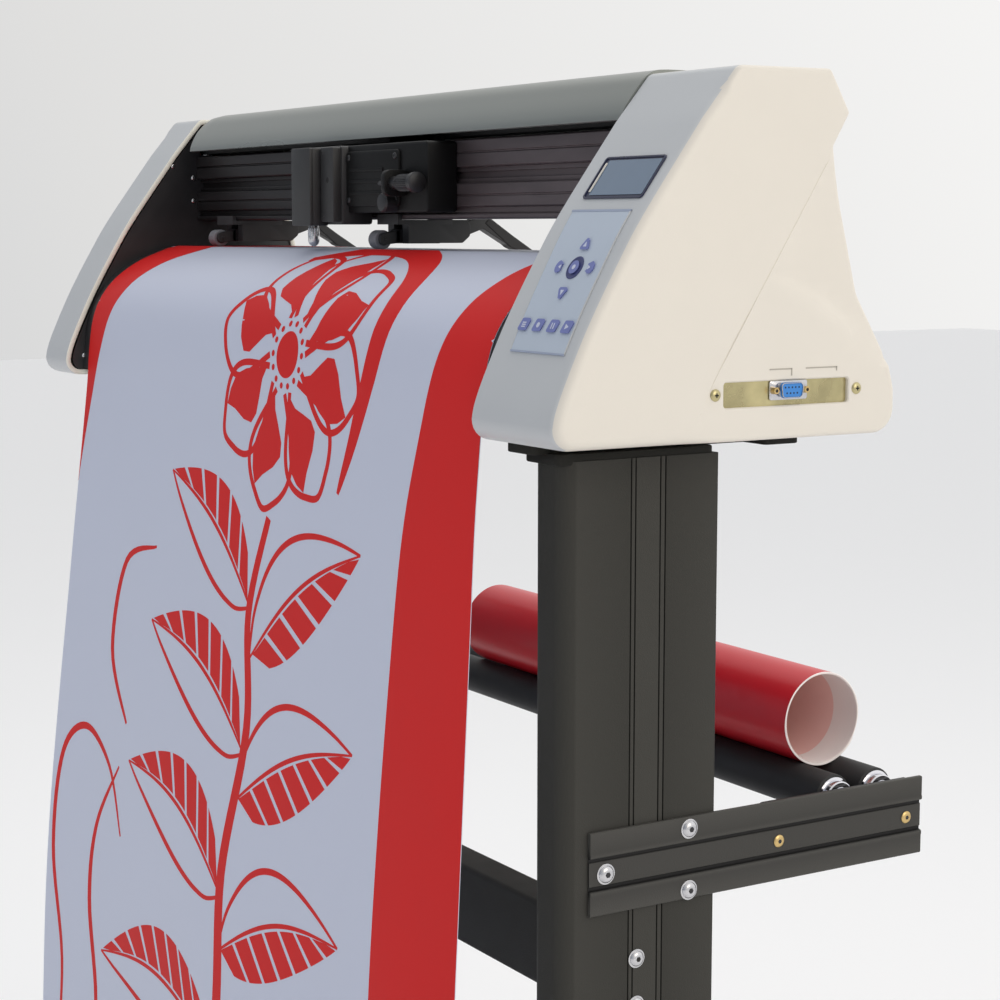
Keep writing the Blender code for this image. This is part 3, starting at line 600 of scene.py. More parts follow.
restyle(BLACK, "right_side_plate", "left_side_plate", "feed_motor", "carriage_motor",
        "left_pinch_bracket", "right_pinch_bracket")
restyle(STEEL, "drive_pulley", "idler_pulley", "feed_motor_pulley", "grit_shaft")
restyle(BOARD, "circuit_board")
restyle(BELT, "feed_belt", "carriage_belt")
for side, x, out in (("left", -821.1, 1), ("right", -94.7, -1)):
    heads = [(106.1, 191.4), (126.4, 180.7), (126.4, 159.4), (14.5, 17.5), (196, 90),
             (60, 70), (150, 30)]
    parts = []
    for y, z in heads:
        parts += screw((x, y, z), "x", out, 2.3, 1.4)
    piece(side + "_plate_screws", parts, [STEEL, HOLE_SHADE])

# --- hood and beam ---------------------------
crest = spline([(114.6, 204.6), (115.6, 209), (119.4, 215.8), (126.4, 224.8),
                (133.6, 232.8), (141.5, 237.2), (152, 238.2)], 5)
crest += fillet([(160, 238.2, 0), (207.2, 238.2, 6), (223.2, 207, 4),
                 (216, 192, 5), (218, 150, 0)], 6)
hood_line = crest + shifted(crest, -3)[::-1]


def hood_ring(x, drop, back):
    """Hood section; near the left cover it dips and its front corner sets back."""
    return [at(x + back * max(0, min(1, (150 - y) / 35)), y,
               z - drop * max(0, (z - 222) / 16)) for y, z in hood_line]


loops = [hood_ring(L_IN + 0.4, 4.5, 18), hood_ring(L_IN + 9, 1.4, 18),
         hood_ring(L_IN + 36, 0, 0), hood_ring(R_IN - 0.3, 0, 0)]
piece("hood", [skin(loops, caps=True)], SAGE, gone="top_cover")
RAIL = [(131.2, 141), (172, 141), (172, 200), (131, 200), (130, 199),
        (130, 191.2), (130.9, 190.6), (130.9, 189.8), (130, 189.2), (130, 180.4),
        (130.8, 179.6), (134, 179), (134, 176), (136.5, 176), (136.5, 171),
        (134, 171), (134, 168), (130.8, 167.4), (130, 166.6), (130, 159.6),
        (130.9, 159), (130.9, 158.2), (130, 157.6), (130, 151), (130.8, 150.2),
        (133, 149.6), (133, 145.8), (130.6, 145), (130, 144.4), (130, 142.2)]
piece("beam", [prism(RAIL, -820.8, -95)], BEAM, gone="gantry_beam", bevel=0.3)

# --- bed and apron ---------------------------
APRON = [(100, 116.5), (84.6, 111.3), (62.6, 102.1), (40.6, 86.9), (25.9, 68.4),
         (18.4, 48.2), (14.8, 22.7), (13.4, 6)]
restyle(BLACK, "bed")
ribs = [-800 + k * 20.6 for k in range(34)]
piece("bed_ribs", [box((x, x + 9), (152, 196), (116.45, 116.62)) for x in ribs], BLACK)

# --- carriage, blade holder and clamp screw ---
parts = [slab((-466.7, -335), (104, 129.7), (146, 199), 3, "y", 1.5),
         box((-430, -370), (124, 129.6), (198, 209)),
         box((-430, -370), (124, 139.2), (200.9, 209)),
         slab((-372, -366), (84, 106), (158, 178), 6, "x", 0.8),
         slab((-462, -376), (101.6, 105), (151, 194), 4, "y", 0.9)]
for z in (160, 169, 178):
    parts.append(slab((-456, -400), (100.7, 102.5), (z, z + 3), 1.4, "y", 0.4))
for x, z in ((-457, 189), (-381, 189), (-457, 156), (-381, 156)):
    parts += screw((x, 101.9, z), "y", -1, 2.6, 1.6, m=1, slot_m=2)
parts += [lathe([(104.5, 7.6), (93.5, 7.6), (92, 6.4), (91.6, 4.2)],
                (-386, 153.6), "y", 40, 1)]
piece("carriage_shell", parts, [SHELL, GUNMETAL, HOLE_SHADE], "carriage", "carriage_body")

parts = [slab((-523, -462), (98, 125.7), (137, 199), 3, "y", 1.5),
         slab((-522, -488.5), (82.6, 86.2), (136, 198), 1.6, "y", 0.7),
         slab((-522, -518), (85, 99), (136, 198), 1.5, "y", 0.5),
         slab((-492.5, -488.5), (85, 99), (136, 198), 1.5, "y", 0.5),
         slab((-519, -491), (85, 99), (192, 198), 1.5, "y", 0.5),
         slab((-486, -464), (91, 99), (139, 198), 1.6, "y", 0.8),
         lathe([(138, 1.9), (138.8, 2.6), (150, 2.6), (150.8, 1.9)],
               (-525.6, 92), "z", 20, 1),
         slab((-527, -521), (90.5, 93.5), (149.5, 153), 1, "y", 0.4)]
# a flat near-black disc stands for a hole: painted shade
parts += screw((-474, 91.2, 172), "y", -1, 2.4, 0.5, m=2, slot_m=2)
for x, z in ((-482, 194), (-482, 143.5)):
    parts += screw((x, 91.2, z), "y", -1, 1.6, 0.7, m=0, slot_m=2)
piece("tool_head", parts, [CASE, GUNMETAL, HOLE_SHADE], "carriage", "tool_block")


piece("blade_pen", [
    knurled([(119.6, 1.6, 0), (120.4, 2.6, 0), (121.2, 3.6, 0), (123.4, 4.6, 0),
             (127.6, 4.6, 0), (128, 4.7, 1), (134, 4.7, 1), (134.4, 4.2, 0),
             (158, 4.2, 0), (158.4, 3.2, 0), (163.4, 3.2, 0), (164, 2.6, 0)],
            (-507, 95), "z", 20, 0.3),
    lathe([(118.8, 0.15), (119.3, 0.6), (119.8, 0.6)], (-507, 95), "z", 12)],
    STEEL, "pen", "blade_holder")
piece("clamp_thumbscrew", [
    lathe([(-389, 1.2), (-387, 2), (-365.6, 2), (-365.6, 5), (-357, 5)], (92, 168)),
    knurled([(-357.4, 4, 0), (-356.4, 5.8, 0), (-354.8, 6.4, 1), (-335, 6.4, 1),
             (-334, 7.6, 0), (-329.6, 7.6, 0), (-328.4, 5.4, 0)], (92, 168), "x", 28, 0.6)],
    GUNMETAL, "clamp_screw", "clamp_knob")

# --- pinch rollers and their arms ------------
STRIP = [(131.5, 122.9), (131.5, 132.7), (134, 133.5), (172, 133.5), (206, 142),
         (218, 142), (240, 127.5), (259.5, 115.5), (255, 112), (238, 119), (212, 133.5),
         (180, 122.5), (134, 122.5)]
GRIP = shifted([(214, 138)] + STRIP[5:10], 0.6, True)
CHEEK = fillet([(117, 120.6, 3), (135, 122.5, 0), (135, 133, 0), (117, 129.6, 3)], 5)
SADDLE = fillet([(163.6, 122.3, 1), (186, 122.3, 4), (193, 128, 4), (193, 137, 4),
                 (189.5, 140.7, 1.5), (163.6, 140.7, 1)], 5)
AXLE = (122, 125.1)
for side, px in (("left", -750), ("right", -438.8)):
    piece(side + "_lever", [prism(STRIP, px - 5, px + 5), prism(CHEEK, px + 1.6, px + 5),
                            lathe([(px - 13, 2), (px + 13, 2)], (150, 130), "x", 20),
                            lathe([(px - 11.5, 1.8), (px + 5.6, 1.8)], AXLE, "x", 16)],
          BLACK, side + "_arm", side + "_pinch_arm", bevel=0.5)
    piece(side + "_lever_grip", [prism(GRIP, px - 5.6, px + 5.6)], RUBBER, side + "_arm",
          bevel=1.2, segments=3)
    piece(side + "_saddle", [prism(SADDLE, px + 7.4, px + 16.6),
                             prism(SADDLE, px - 16.6, px - 7.4)],
          BLACK, side + "_pinch", bevel=0.6)
    tread = [(px - 11.9, 5.2), (px - 11.4, 6.9), (px - 10.6, 7.5)]
    for k in range(5):
        x = px - 10 + 2 * k
        tread += [(x, 7.5), (x + 0.3, 7.1), (x + 0.7, 7.1), (x + 1, 7.5)]
    tread += [(px + 0.2, 7.5), (px + 0.9, 6.9), (px + 1.2, 5.2)]
    hub = [(px - 12.1, 2.4), (px - 12.1, 4.6), (px - 11.6, 5), (px + 1, 5),
           (px + 1.4, 4.6), (px + 1.4, 2.4)]
    piece(side + "_nip_wheel", [lathe(tread, AXLE), lathe(hub, AXLE, "x", 32, 1)],
          [NIP, BLACK], side + "_roller", side + "_pinch_roller")

# --- display, keypad and keys ----------------
def band(z0, z1, x, out, m=0):
    """Strip of the curved front face between two heights."""
    line = [tuple(face_at(z0)[0])] + [p for p in front_curve if z0 < p[1] < z1]
    line += [tuple(face_at(z1)[0])]
    a, b = shifted(line, out[0]), shifted(line, out[1])
    return prism(a + b[::-1], *x, "x", m)


# the membrane's side strips take the covers' painted front shade
pad = piece("keypad_panel", [band(57.5, 145.2, (-81.5, -16.5), (0.1, 0.75)),
                             band(144.2, 145.4, (-81.8, -16.2), (0.1, 1), 1),
                             band(57.3, 58.3, (-81.8, -16.2), (0.1, 1), 1),
                             band(57.5, 145.2, (-81.8, -81.1), (0.1, 0.95), 2),
                             band(57.5, 145.2, (-16.9, -16.2), (0.1, 0.95), 2)],
            [LABEL, LABEL_EDGE, FRONT_SHADE_GREY], gone="keypad_overlay")
# the membrane is a slanted strip: it moves right, and narrows, towards its lower end
for v in pad.data.vertices:
    low = (145.2 - (v.co.z * 1000 - HEAD)) / 87.7
    v.co.x += 0.001 * low * (6 - 3.7 * (v.co.x * 1000 - MID_X + 81.5) / 65)
DISPLAY_X = -46.45
spot, t = face_at(165.8)
RIM = [(0.2, -0.4), (0.2, 0.8), (-0.1, 1.1), (-1, 1.1), (-1.4, 0.6), (-1.4, 0.3)]
piece("display_bezel", [
    face_plate(DISPLAY_X, spot, t, rect(63.4, 30.4, 1.4, 5), RIM),
    face_plate(DISPLAY_X, spot, t, rect(1.4, 22.5, 0.4, x=-28.5),
               [(0, 0.4), (0, 0.9), (-0.3, 1.05)], 1)], [NAVY, CREAM], gone="lcd_window")
piece("display_glass", [face_plate(DISPLAY_X, spot, t, rect(57.8, 27, 0.8, x=1.2),
                                   [(0, 0.2), (0, 0.5), (-0.2, 0.6)])], LCD)


def rounded_poly(line, r, n=4):
    return fillet([(u, v, r) for u, v in line], n)


def crescent(side):
    pts = [(side * (4.6 - 2.6 * (1 - math.cos(a)) * 1.3), 3.9 * math.sin(a))
           for a in [math.radians(-80 + 16 * k) for k in range(11)]]
    pts += [(side * (-1.4 + 0.8 * math.cos(a)), 2.4 * math.sin(a))
            for a in [math.radians(80 - 16 * k) for k in range(11)]]
    return pts if side > 0 else pts[::-1]


def bars(*spots, w=4.2, h=0.7, r=0.2, n=2):
    return [rect(w, h, r, n, x, y) for x, y in spots]


ARROW = [(-4.4, -3.4), (4.4, -3.4), (0.8, 3.4), (-0.8, 3.4)]
tip = lambda *points: [rounded_poly(points, 0.2)]
F_KEY = rounded_poly([(-5, -3.6), (3.4, -3.6), (5, 3.6), (-3.4, 3.6)], 0.9)
# each key: (x, height), outline of its cap, outlines of its glyph
KEYS = {
    "key_up": ((-44, 123.8), rounded_poly(ARROW, 0.8), tip((-1.8, -2), (1.8, -2), (0, 1.6))),
    "key_left": ((-60.4, 109.5), crescent(-1), tip((0.9, -1.5), (0.9, 1.5), (-1.7, 0))),
    "key_centre": ((-44.8, 109.5), rect(8, 8, 3.9, 8), [rect(3.2, 3.2, 1.5, 6)]),
    "key_right": ((-28.2, 109.5), crescent(1), tip((-0.9, 1.5), (-0.9, -1.5), (1.7, 0))),
    "key_down": ((-44.8, 93.6), rounded_poly([(-u, -v) for u, v in ARROW], 0.8),
                 tip((-1.8, 2), (0, -1.6), (1.8, 2))),
    "key_f1": ((-70.6, 73.8), F_KEY, bars((0, 1.1), (0, -0.3), (0, -1.7))),
    "key_f2": ((-54.2, 73.8), F_KEY, [rect(3.4, 3.4, 1.6, 6)]),
    "key_f3": ((-37.6, 73.8), F_KEY, bars((-1.2, 0), (1.2, 0), w=0.9, h=4, r=0.3)),
    "key_f4": ((-21.8, 73.8), F_KEY, tip((-1.8, -1.8), (2, 0), (-1.8, 1.8)))}
for name, ((kx, kz), cap, glyph) in KEYS.items():
    spot, t = face_at(kz)
    parts = [face_plate(kx, spot, t, cap, [(-0.2, -1), (0, 0.4), (0, 1.35), (-0.25, 1.65),
                                           (-0.7, 1.8)])]
    parts += [face_plate(kx, spot, t, g, [(0, 1.5), (0, 1.86), (-0.1, 1.92)], 1)
              for g in glyph]
    piece(name + "_cap", parts, [KEY, BACKING], name, name)
spot, t = face_at(109.5)
piece("keypad_ring", [face_plate(-44.6, spot, t, rect(13.4, 13.4, 6.6, 10),
                                 [(0, 0.5), (0, 1), (-0.35, 1.1), (-1.1, 1.1),
                                  (-1.4, 0.95)])], KEY_DARK)

# --- connector behind the slot, power inlet and rocker ---
restyle(ZINC, "io_plate")
DSUB = fillet([(171.8, 35.7, 2.2), (189.2, 35.7, 2.2), (188, 27, 2),
               (173, 27, 2)], 5)
grown = lambda d: shifted(DSUB, -d, closed=True)
# the near-black block behind the shell and the socket discs are painted shade of the
# connector's cavity and holes
parts = [slab((-3, -2.2), (165.1, 195.9), (25.1, 37.5), 1.5, "x", 0.2),
         rings([(-2.5, DSUB), (2.3, DSUB), (2.5, grown(-0.15)), (2.5, grown(-0.45)),
                (2.2, grown(-0.55)), (0.6, grown(-0.55))], "x"),
         prism(grown(-0.75), 0.5, 1.7, "x", 1), box((-16, -2.6), (171, 190), (26.6, 36), 2)]
for z, count, y0 in ((33.2, 5, 174.96), (29.5, 4, 176.34)):
    parts += [lathe([(1.68, 0.62), (1.74, 0.62)], (y0 + 2.77 * k, z), "x", 12, 2)
              for k in range(count)]
for y in (168, 193):
    parts += [lathe([(-2.6, 2.4), (1.5, 2.4), (1.8, 2.1)], (y, 31.3), "x", 6, 3),
              lathe([(1.7, 1.1), (1.86, 1.1)], (y, 31.3), "x", 16, 2)]
piece("serial_port", parts, [STEEL, INSERT, HOLE_SHADE, BRASS], gone="serial_connector")

BACK_T = Vector((213.5 - 238.5, 185.8 - 91.8)).normalized()
BACK_OUT = Vector((BACK_T[1], -BACK_T[0]))
BACK_SPOT = Vector((229.7, 125))


def back_plate(x, line, levels, m=0):
    """Plate on the cover's sloping back."""
    return face_plate(x, BACK_SPOT, BACK_T, line, levels, m, side=-1)


def on_back(points):
    """(y, z) of points given as (up the back, out of it)."""
    return [tuple(BACK_SPOT + BACK_T * a + BACK_OUT * o) for a, o in points]


parts = [back_plate(-65, rect(36, 28, 3),
                    [(3.6, -17.5), (3.6, 0.3), (0, 0.3), (0, 2.1), (0.5, 2.6), (5.6, 2.6),
                     (6, 2.2), (6, -12)])]
for x, y in ((-7, -2.2), (0, 2), (7, -2.2)):
    parts.append(back_plate(-65, rect(2, 6, 0.4, 2, x, y), [(0, -12.2), (0, -2.5)], 1))
piece("mains_inlet", parts, [BLACK, BRASS], gone="power_inlet")
piece("rocker_frame", [back_plate(-30, rect(18, 24.6, 1.6),
                                  [(1.6, -8.5), (1.6, 0.2), (0, 0.2), (0, 1.2), (0.4, 1.6),
                                   (1.3, 1.6), (1.6, 1.3), (1.6, -7.8)])], BLACK)
cap = [(-9.8, 1), (-9.4, 1.9), (0, 0.7), (9.4, 1.9), (9.8, 1), (8.6, -5), (-8.6, -5)]
dash = [(4, 1.15), (7.6, 1.6), (7.6, 1.8), (4, 1.35)]
piece("rocker_cap", [prism(on_back(cap), -36.8, -23.2),
                     prism(on_back(dash), -30.4, -29.6, "x", 1)],
      [BLACK, BACKING], "rocker", "power_switch", bevel=0.3)

# --- the sheet of film -----------------------
WIDTH, SHEET_X, FILM = 700, -806, 0.5
bed_line = [(204, 116.5), (178, 116.5), (150, 116.5), (128, 116.5), (112, 116.5)]
bed_line = shifted(bed_line + spline(APRON, 3)[:-1], -0.3)
HANG_L = [(11.6, -10), (5.6, -60), (-3, -130), (-11, -200),
          (-22.5, -300), (-33, -400), (-41, -500), (-49, -640)]
HANG_R = [(11.8, -10), (8, -60), (4.5, -130), (1, -200),
          (-4, -300), (-9, -400), (-13, -500), (-17, -640)]


def measured(points):
    """Fine path through the points, with its running length."""
    fine = spline(points, 6)
    run = [0]
    for a, b in zip(fine, fine[1:]):
        run.append(run[-1] + (Vector(b) - Vector(a)).length)
    return fine, run


paths = [measured(bed_line + HANG_L), measured(bed_line + HANG_R)]
LENGTH = (paths[0][1][-1] + paths[1][1][-1]) / 2


def along(path, share):
    fine, run = path
    want = share * run[-1]
    lo, hi = 0, len(run) - 1
    while hi - lo > 1:
        mid = (lo + hi) // 2
        lo, hi = (mid, hi) if run[mid] <= want else (lo, mid)
    f = (want - run[lo]) / (run[hi] - run[lo])
    return Vector(fine[lo]).lerp(Vector(fine[hi]), f)


def centre_line(share, f):
    """Point of the sheet's profile a share of the way along it and f of the way across."""
    return along(paths[0], share).lerp(along(paths[1], share), f)


def on_sheet(u, v, h):
    """Point of the hanging film: u across, v from its rear edge, h above its back."""
    share, f, e = max(0, min(1, v / LENGTH)), u / WIDTH, 0.004
    t = (centre_line(min(1, share + e), f) - centre_line(max(0, share - e), f)).normalized()
    wave = smooth(300, 820, v) * (2.6 * math.sin(6.8 * f + 0.5 + v * 0.0035)
                                      + 1.3 * math.sin(13 * f - v * 0.006))
    q = centre_line(share, f) + Vector((t[1], -t[0])) * (h + wave)
    return at(SHEET_X + u, q[0], q[1])


cols, rows = 56, 130
verts = [on_sheet(WIDTH * c / cols, LENGTH * r / rows, h)
         for h in (0, FILM) for r in range(rows + 1) for c in range(cols + 1)]
w, top = cols + 1, (cols + 1) * (rows + 1)
faces = []
for r in range(rows):
    for c in range(cols):
        a = r * w + c
        faces += [(a, a + 1, a + 1 + w, a + w),
                  (top + a, top + a + w, top + a + w + 1, top + a + 1)]
rim = (list(range(w)) + [r * w + cols for r in range(1, rows + 1)]
       + [rows * w + c for c in range(cols - 1, -1, -1)]
       + [r * w for r in range(rows - 1, 0, -1)])
faces += [(a, b, top + b, top + a) for a, b in zip(rim, rim[1:] + rim[:1])]
sheet = piece("film_sheet", [(verts, faces, 0)], BACKING, gone="vinyl_sheet", angle=60)


def film(shapes, name, step=9):
    """Thin red film on the sheet; shapes are outlines in sheet millimetres."""
    parts = []
    for k, line in enumerate(shapes):
        line = divided([(min(max(u, 0), WIDTH), min(max(v, 0), LENGTH))
                        for u, v in line], 10)
        poly = [Vector(p) for p in line]
        pts, n = list(poly), len(poly)
        us, vs = zip(*line)
        v = math.floor(min(vs) / step) * step + step
        while v < max(vs):
            wide, deep = (1, 0.6) if v < 300 else (2, 2)
            u = math.floor(min(us) / step) * step + step
            while u < max(us):
                p = Vector((u, v))
                if inside(p, poly) and min((p - q).length for q in poly) > step * 0.35:
                    pts.append(p)
                u += step * wide
            v += step * deep
        out, _, tris, *_ = delaunay_2d_cdt(pts, [(i, (i + 1) % n) for i in range(n)], [],
                                           1, 1e-3)
        # overlapping shapes differ in height, and all stand clear of the bed's corner
        verts = [on_sheet(*q, level + 0.32 * max(0, 1 - abs(q[1] - 104) / 18))
                 for level in (FILM + 0.03, FILM + 0.14 + 0.015 * (k % 3)) for q in out]
        m = len(out)
        faces = [tuple(t) for t in tris] + [tuple(i + m for i in t[::-1]) for t in tris]
        sides = [(a, b) for t in tris for a, b in zip(t, [*t[1:], t[0]])]
        free = set(sides)
        faces += [(a, b, b + m, a + m) for a, b in sides if (b, a) not in free]
        parts.append((verts, faces, 0))
    return piece(name, parts, RED, angle=60)


def stroke(points, wide):
    """Outline of a brush line; wide(t) is its half width along the way."""
    pts = spline(points, 8)
    n = len(pts) - 1
    left, right = [], []
    for i, p in enumerate(pts):
        d = (Vector(pts[min(i + 1, n)]) - Vector(pts[max(i - 1, 0)])).normalized()
        w = max(0.35, wide(i / n))
        left.append((p[0] - d[1] * w, p[1] + d[0] * w))
        right.append((p[0] + d[1] * w, p[1] - d[0] * w))
    return left + right[::-1]


def taper(most, least=0.5):
    return lambda t: least + (most - least) * math.sin(math.pi * min(1, t * 0.9 + 0.08))


def leaf(base, tip, half, bend, veins, shapes):
    """Half of a leaf filled between its veins, the other half only outlined."""
    a, b = Vector(base), Vector(tip)
    d = b - a
    long, d = d.length, d.normalized()
    n = Vector((-d[1], d[0]))

    def spot(t, side):
        body = math.sin(math.pi * t ** 0.8) ** 0.9 if 0 < t < 1 else 0
        lift = bend * math.sin(math.pi * t)
        return tuple(a + d * long * t + n * (lift + side * half * body))

    shapes.append(stroke([spot(t / 10, -1) for t in range(11)], taper(2.6, 1)))
    shapes.append(stroke([spot(t / 8, 0) for t in range(9)], taper(1.9, 0.6)))
    for k in range(veins):
        t0, t1 = 0.04 + 0.9 * k / veins, 0.04 + 0.9 * (k + 0.82) / veins
        rise = 0.5 / veins + 0.03
        inner = [spot(t0 + (t1 - t0) * j / 3, 0.10) for j in range(4)]
        outer = [spot(min(0.985, t0 + rise + (t1 - t0) * j / 4), 1) for j in range(5)]
        shapes.append(inner + outer[::-1])


def blossom(centre, petals, r0, r1, half, turn, shapes):
    """Ring of petals, each an outline with a filled flank, round a dotted core."""
    c = Vector(centre)
    for k in range(petals):
        ang = turn + 2 * math.pi * k / petals
        d, n = Vector((math.cos(ang), math.sin(ang))), Vector((-math.sin(ang), math.cos(ang)))

        def spot(t, side):
            w = half * math.sin(math.pi * min(1, 0.12 + 0.88 * t) ** 1.5) ** 0.8
            return tuple(c + d * (r0 + (r1 - r0) * t) + n * side * w)
        petal = [spot(t / 9, 1) for t in range(10)] + [spot(t / 9, -1) for t in range(9)][::-1]
        shapes.append(stroke(petal, lambda t: 2.6))
        flank = [spot(0.05 + 0.8 * t / 7, 0.82) for t in range(8)]
        core = [spot(0.05 + 0.8 * t / 7, 0.82 - 1.3 * math.sin(math.pi * t / 7))
                for t in range(6, 0, -1)]
        shapes.append(flank + core)
    shapes.append(polar(c, [r0 * 0.62] * 40))
    shapes += [polar(dot, [r0 * 0.085] * 12) for dot in polar(c, [r0 * 0.84] * 14)]


# margins left on the sheet, then the drawing: a flower on a leafy stem
right_edge = spline([(672, 0), (664, 60), (659, 110), (655, 140), (648, 170), (639, 204),
                     (625, 253), (606, 340), (598, 440), (593, 600), (590, LENGTH)], 8)
left_edge = spline([(150, 0), (118, 60), (92, 100), (70, 130), (54, 160), (44, 188),
                    (33, 224), (20, 260), (14, 284), (8, 312), (3, 340), (0, 362)], 6)
film([right_edge + [(WIDTH, LENGTH - 60 * k) for k in range(int(LENGTH // 60) + 1)]
      + [(WIDTH, 0)], left_edge + [(0, 330 - 30 * k) for k in range(12)]], "film_margins")
shapes = []
blossom((410, 226), 8, 29, 122, 37, 0.2, shapes)
shapes.append(stroke([(330, 128), (400, 108), (480, 112), (538, 150), (548, 210), (528, 275),
                      (508, 322)], taper(13, 1)))
stem = [(398, 352), (372, 430), (380, 520), (352, 640), (356, 760), (334, LENGTH - 4)]
shapes.append(stroke(stem, lambda t: 4.2 + 4 * t))
for base, tip, half, bend, veins in (
        ((374, 425), (212, 332), 38, 14, 6), ((377, 465), (548, 362), 40, -16, 6),
        ((377, 540), (190, 462), 42, 18, 7), ((366, 580), (552, 505), 42, -14, 7),
        ((353, 660), (160, 590), 42, 20, 7), ((352, 705), (545, 648), 42, -18, 7),
        ((355, 790), (120, 770), 42, 22, 8), ((345, 830), (535, 808), 40, -18, 7)):
    leaf(base, tip, half, bend, veins, shapes)
for pts in ([(34, LENGTH - 3), (40, 800), (12, 700), (20, 610), (66, 578), (120, 604),
             (150, 660)],
            [(70, LENGTH - 3), (112, 830), (92, 730), (100, 660), (140, 600)],
            [(470, LENGTH - 3), (505, 840), (560, 760), (540, 700)],
            [(150, 560), (110, 500), (128, 420), (190, 400)]):
    shapes.append(stroke(pts, taper(3.6, 0.9)))
motif = film(shapes, "film_drawing", step=10)

# --- stand -----------------------------------
GROUND = -HEAD


def washered(x, y, z, s, washer, r, height, m=0):
    """Button-head bolt facing s along x, on a washer of (radius, thickness, top radius)."""
    wide, thick, top = washer
    return [lathe([(x, wide), (x + s * thick, wide), (x + s * (thick + 0.2), top)],
                  (y, z), "x", 28, m)] + screw((x + s * thick, y, z), "x", s, r, height,
                                               "hex", m, m + 1)


POST = [(-84.6, 38, 10), (-48, 38, 11)]
for gy in (90.5, 94, 113.5, 117.5):
    POST += [(-48, gy - 0.6, 0), (-48.7, gy - 0.25, 0), (-48.7, gy + 0.25, 0),
             (-48, gy + 0.6, 0)]
POST += [(-48, 161, 2.5), (-84.6, 161, 2.5)]
FOOT = [(-91.3, GROUND + 65, 4), (-41.3, GROUND + 65, 4), (-41.3, GROUND + 95, 4),
        (-91.3, GROUND + 95, 4)]
LO, HI = -310, -254
WEB = [(-47.7, LO), (-45.4, LO), (-44.7, LO + 0.7), (-44.7, -297), (-44.3, -295.6),
       (-44.3, -294.2), (-45, -293.4), (-47, -292.8), (-47, -291), (-46.2, -290.2),
       (-46.2, -274.4), (-47, -273.6), (-47, -271.8), (-45, -271.2), (-44.3, -270.4),
       (-44.3, -269), (-44.7, -267.6), (-44.7, HI - 0.7), (-45.4, HI), (-47.7, HI)]
TYRE = [(-8.4, 11.5), (-8.6, 19.5), (-8, 22.4), (-6.4, 24.2), (-3.4, 24.9), (0, 25),
        (3.4, 24.9), (6.4, 24.2), (8, 22.4), (8.6, 19.5), (8.4, 11.5)]
RIM = [(-8.9, 3.4), (-8.9, 6.6), (-6.2, 7.4), (-6, 11), (-8.6, 12.2), (-8.6, 12.9),
       (8.6, 12.9), (8.6, 12.2), (6, 11), (6.2, 7.4), (8.9, 6.6), (8.9, 3.4)]
for side, s, mx in (("right", 1, lambda x: x), ("left", -1, mirror)):
    mp = lambda line: [(mx(x), b) for x, b in line]
    span = lambda a, b: tuple(sorted((mx(a), mx(b))))
    piece(side + "_post", [prism(mp(fillet(POST, 8)), GROUND + 95.3, -12, "z"),
                           slab(span(-91, -48.6), (35, 158), (-14.5, -7), 6, "z", 1.2),
                           slab(span(-95, -62), (24, 219), (-8, -0.3), 5, "z", 0.9),
                           slab(span(-92, -45.5), (197, 226), (-9, -0.3), 4, "z", 0.9)],
          POWDER, gone=side + "_column")
    piece(side + "_foot_tube", [prism(mp(fillet(FOOT, 5)), -168, 388, "y")], POWDER,
          gone=side + "_foot")
    for end, y in (("front", (-170, -165)), ("rear", (385, 390))):
        piece(f"{side}_foot_cap_{end}",
              [slab(span(-91.7, -40.9), y, (GROUND + 64.6, GROUND + 95.4), 4.4, "y", 1.4)],
              RUBBER)
    parts = [prism(mp(WEB), 58, 343, "y"),
             slab(span(-57.7, -47.2), (205, 339), (-300, -256.5), 3, "x", 1)]
    for x, y, z, r in ((-46.3, 71, -283, 6.2), (-44.8, 137, -262, 6), (-44.8, 137, -304, 6)):
        parts += washered(mx(x), y, z, s, (r * 1.12, 0.5, r), r * 0.92, 2.6, 1)
    for y in (214.5, 329.8):
        parts += screw((mx(-46.2), y, -282.6), "x", s, 4.4, 1.4, "hex", 3, 2)
    piece(side + "_holder_arm", parts, [ARM, STEEL, GUNMETAL, BRASS],
          gone=side + "_roll_arm")
    for end, cy in (("front", -125), ("rear", 345)):
        sx, top = mx(-66.3), GROUND + 64.7
        wx, wz = sx - 18, GROUND + 25
        tag = f"{end}_{side}_caster"
        cheek = [(sx - 15, top - 7), (sx - 14, top - 12), (wx - 8, wz - 2), (wx - 5, wz - 7),
                 (wx + 2, wz - 7), (wx + 8, wz - 1), (sx + 14, top - 12), (sx + 15, top - 7)]
        cheek = rounded_poly(cheek, 1.5, 3)
        parts = [lathe([(top - down, r) for down, r in (
            (8, 15.4), (6.8, 16.6), (3.4, 16.6), (3, 14.2), (2.2, 14.2), (1.8, 17),
            (0, 17))], (sx, cy), "z")]
        parts += [prism(cheek, cy + o, cy + o + 2.4, "y") for o in (-11.5, 9.1)]
        parts += [lathe([(cy + a * 11, 5), (cy + a * 13.4, 5), (cy + a * 14, 4.4)],
                        (wx, wz), "y", 6) for a in (-1, 1)]
        piece(tag + "_bracket", parts, STEEL, f"{tag}_swivel", f"{tag}_fork")
        piece(tag + "_tyre", [lathe([(cy + a, r) for a, r in TYRE], (wx, wz), "y", 56),
                              lathe([(cy + a, r) for a, r in RIM], (wx, wz), "y", 40, 1)],
              [GREY_RUBBER, BLACK], f"{tag}_roll", f"{tag}_wheel")

CROSS = [(82, -391, 4), (112, -391, 4), (112, -331, 4), (82, -331, 4)]
piece("cross_tube", [prism(fillet(CROSS, 5), -795.1, -84.9)], POWDER, gone="crossbar")
parts = []
for x, s in ((-48, 1), (-832, -1)):
    for z in (-345, -377):
        parts += washered(x, 97, z, s, (6.4, 0.6, 5.4), 5.2, 2.4)
piece("cross_tube_bolts", parts, [STEEL, HOLE_SHADE])

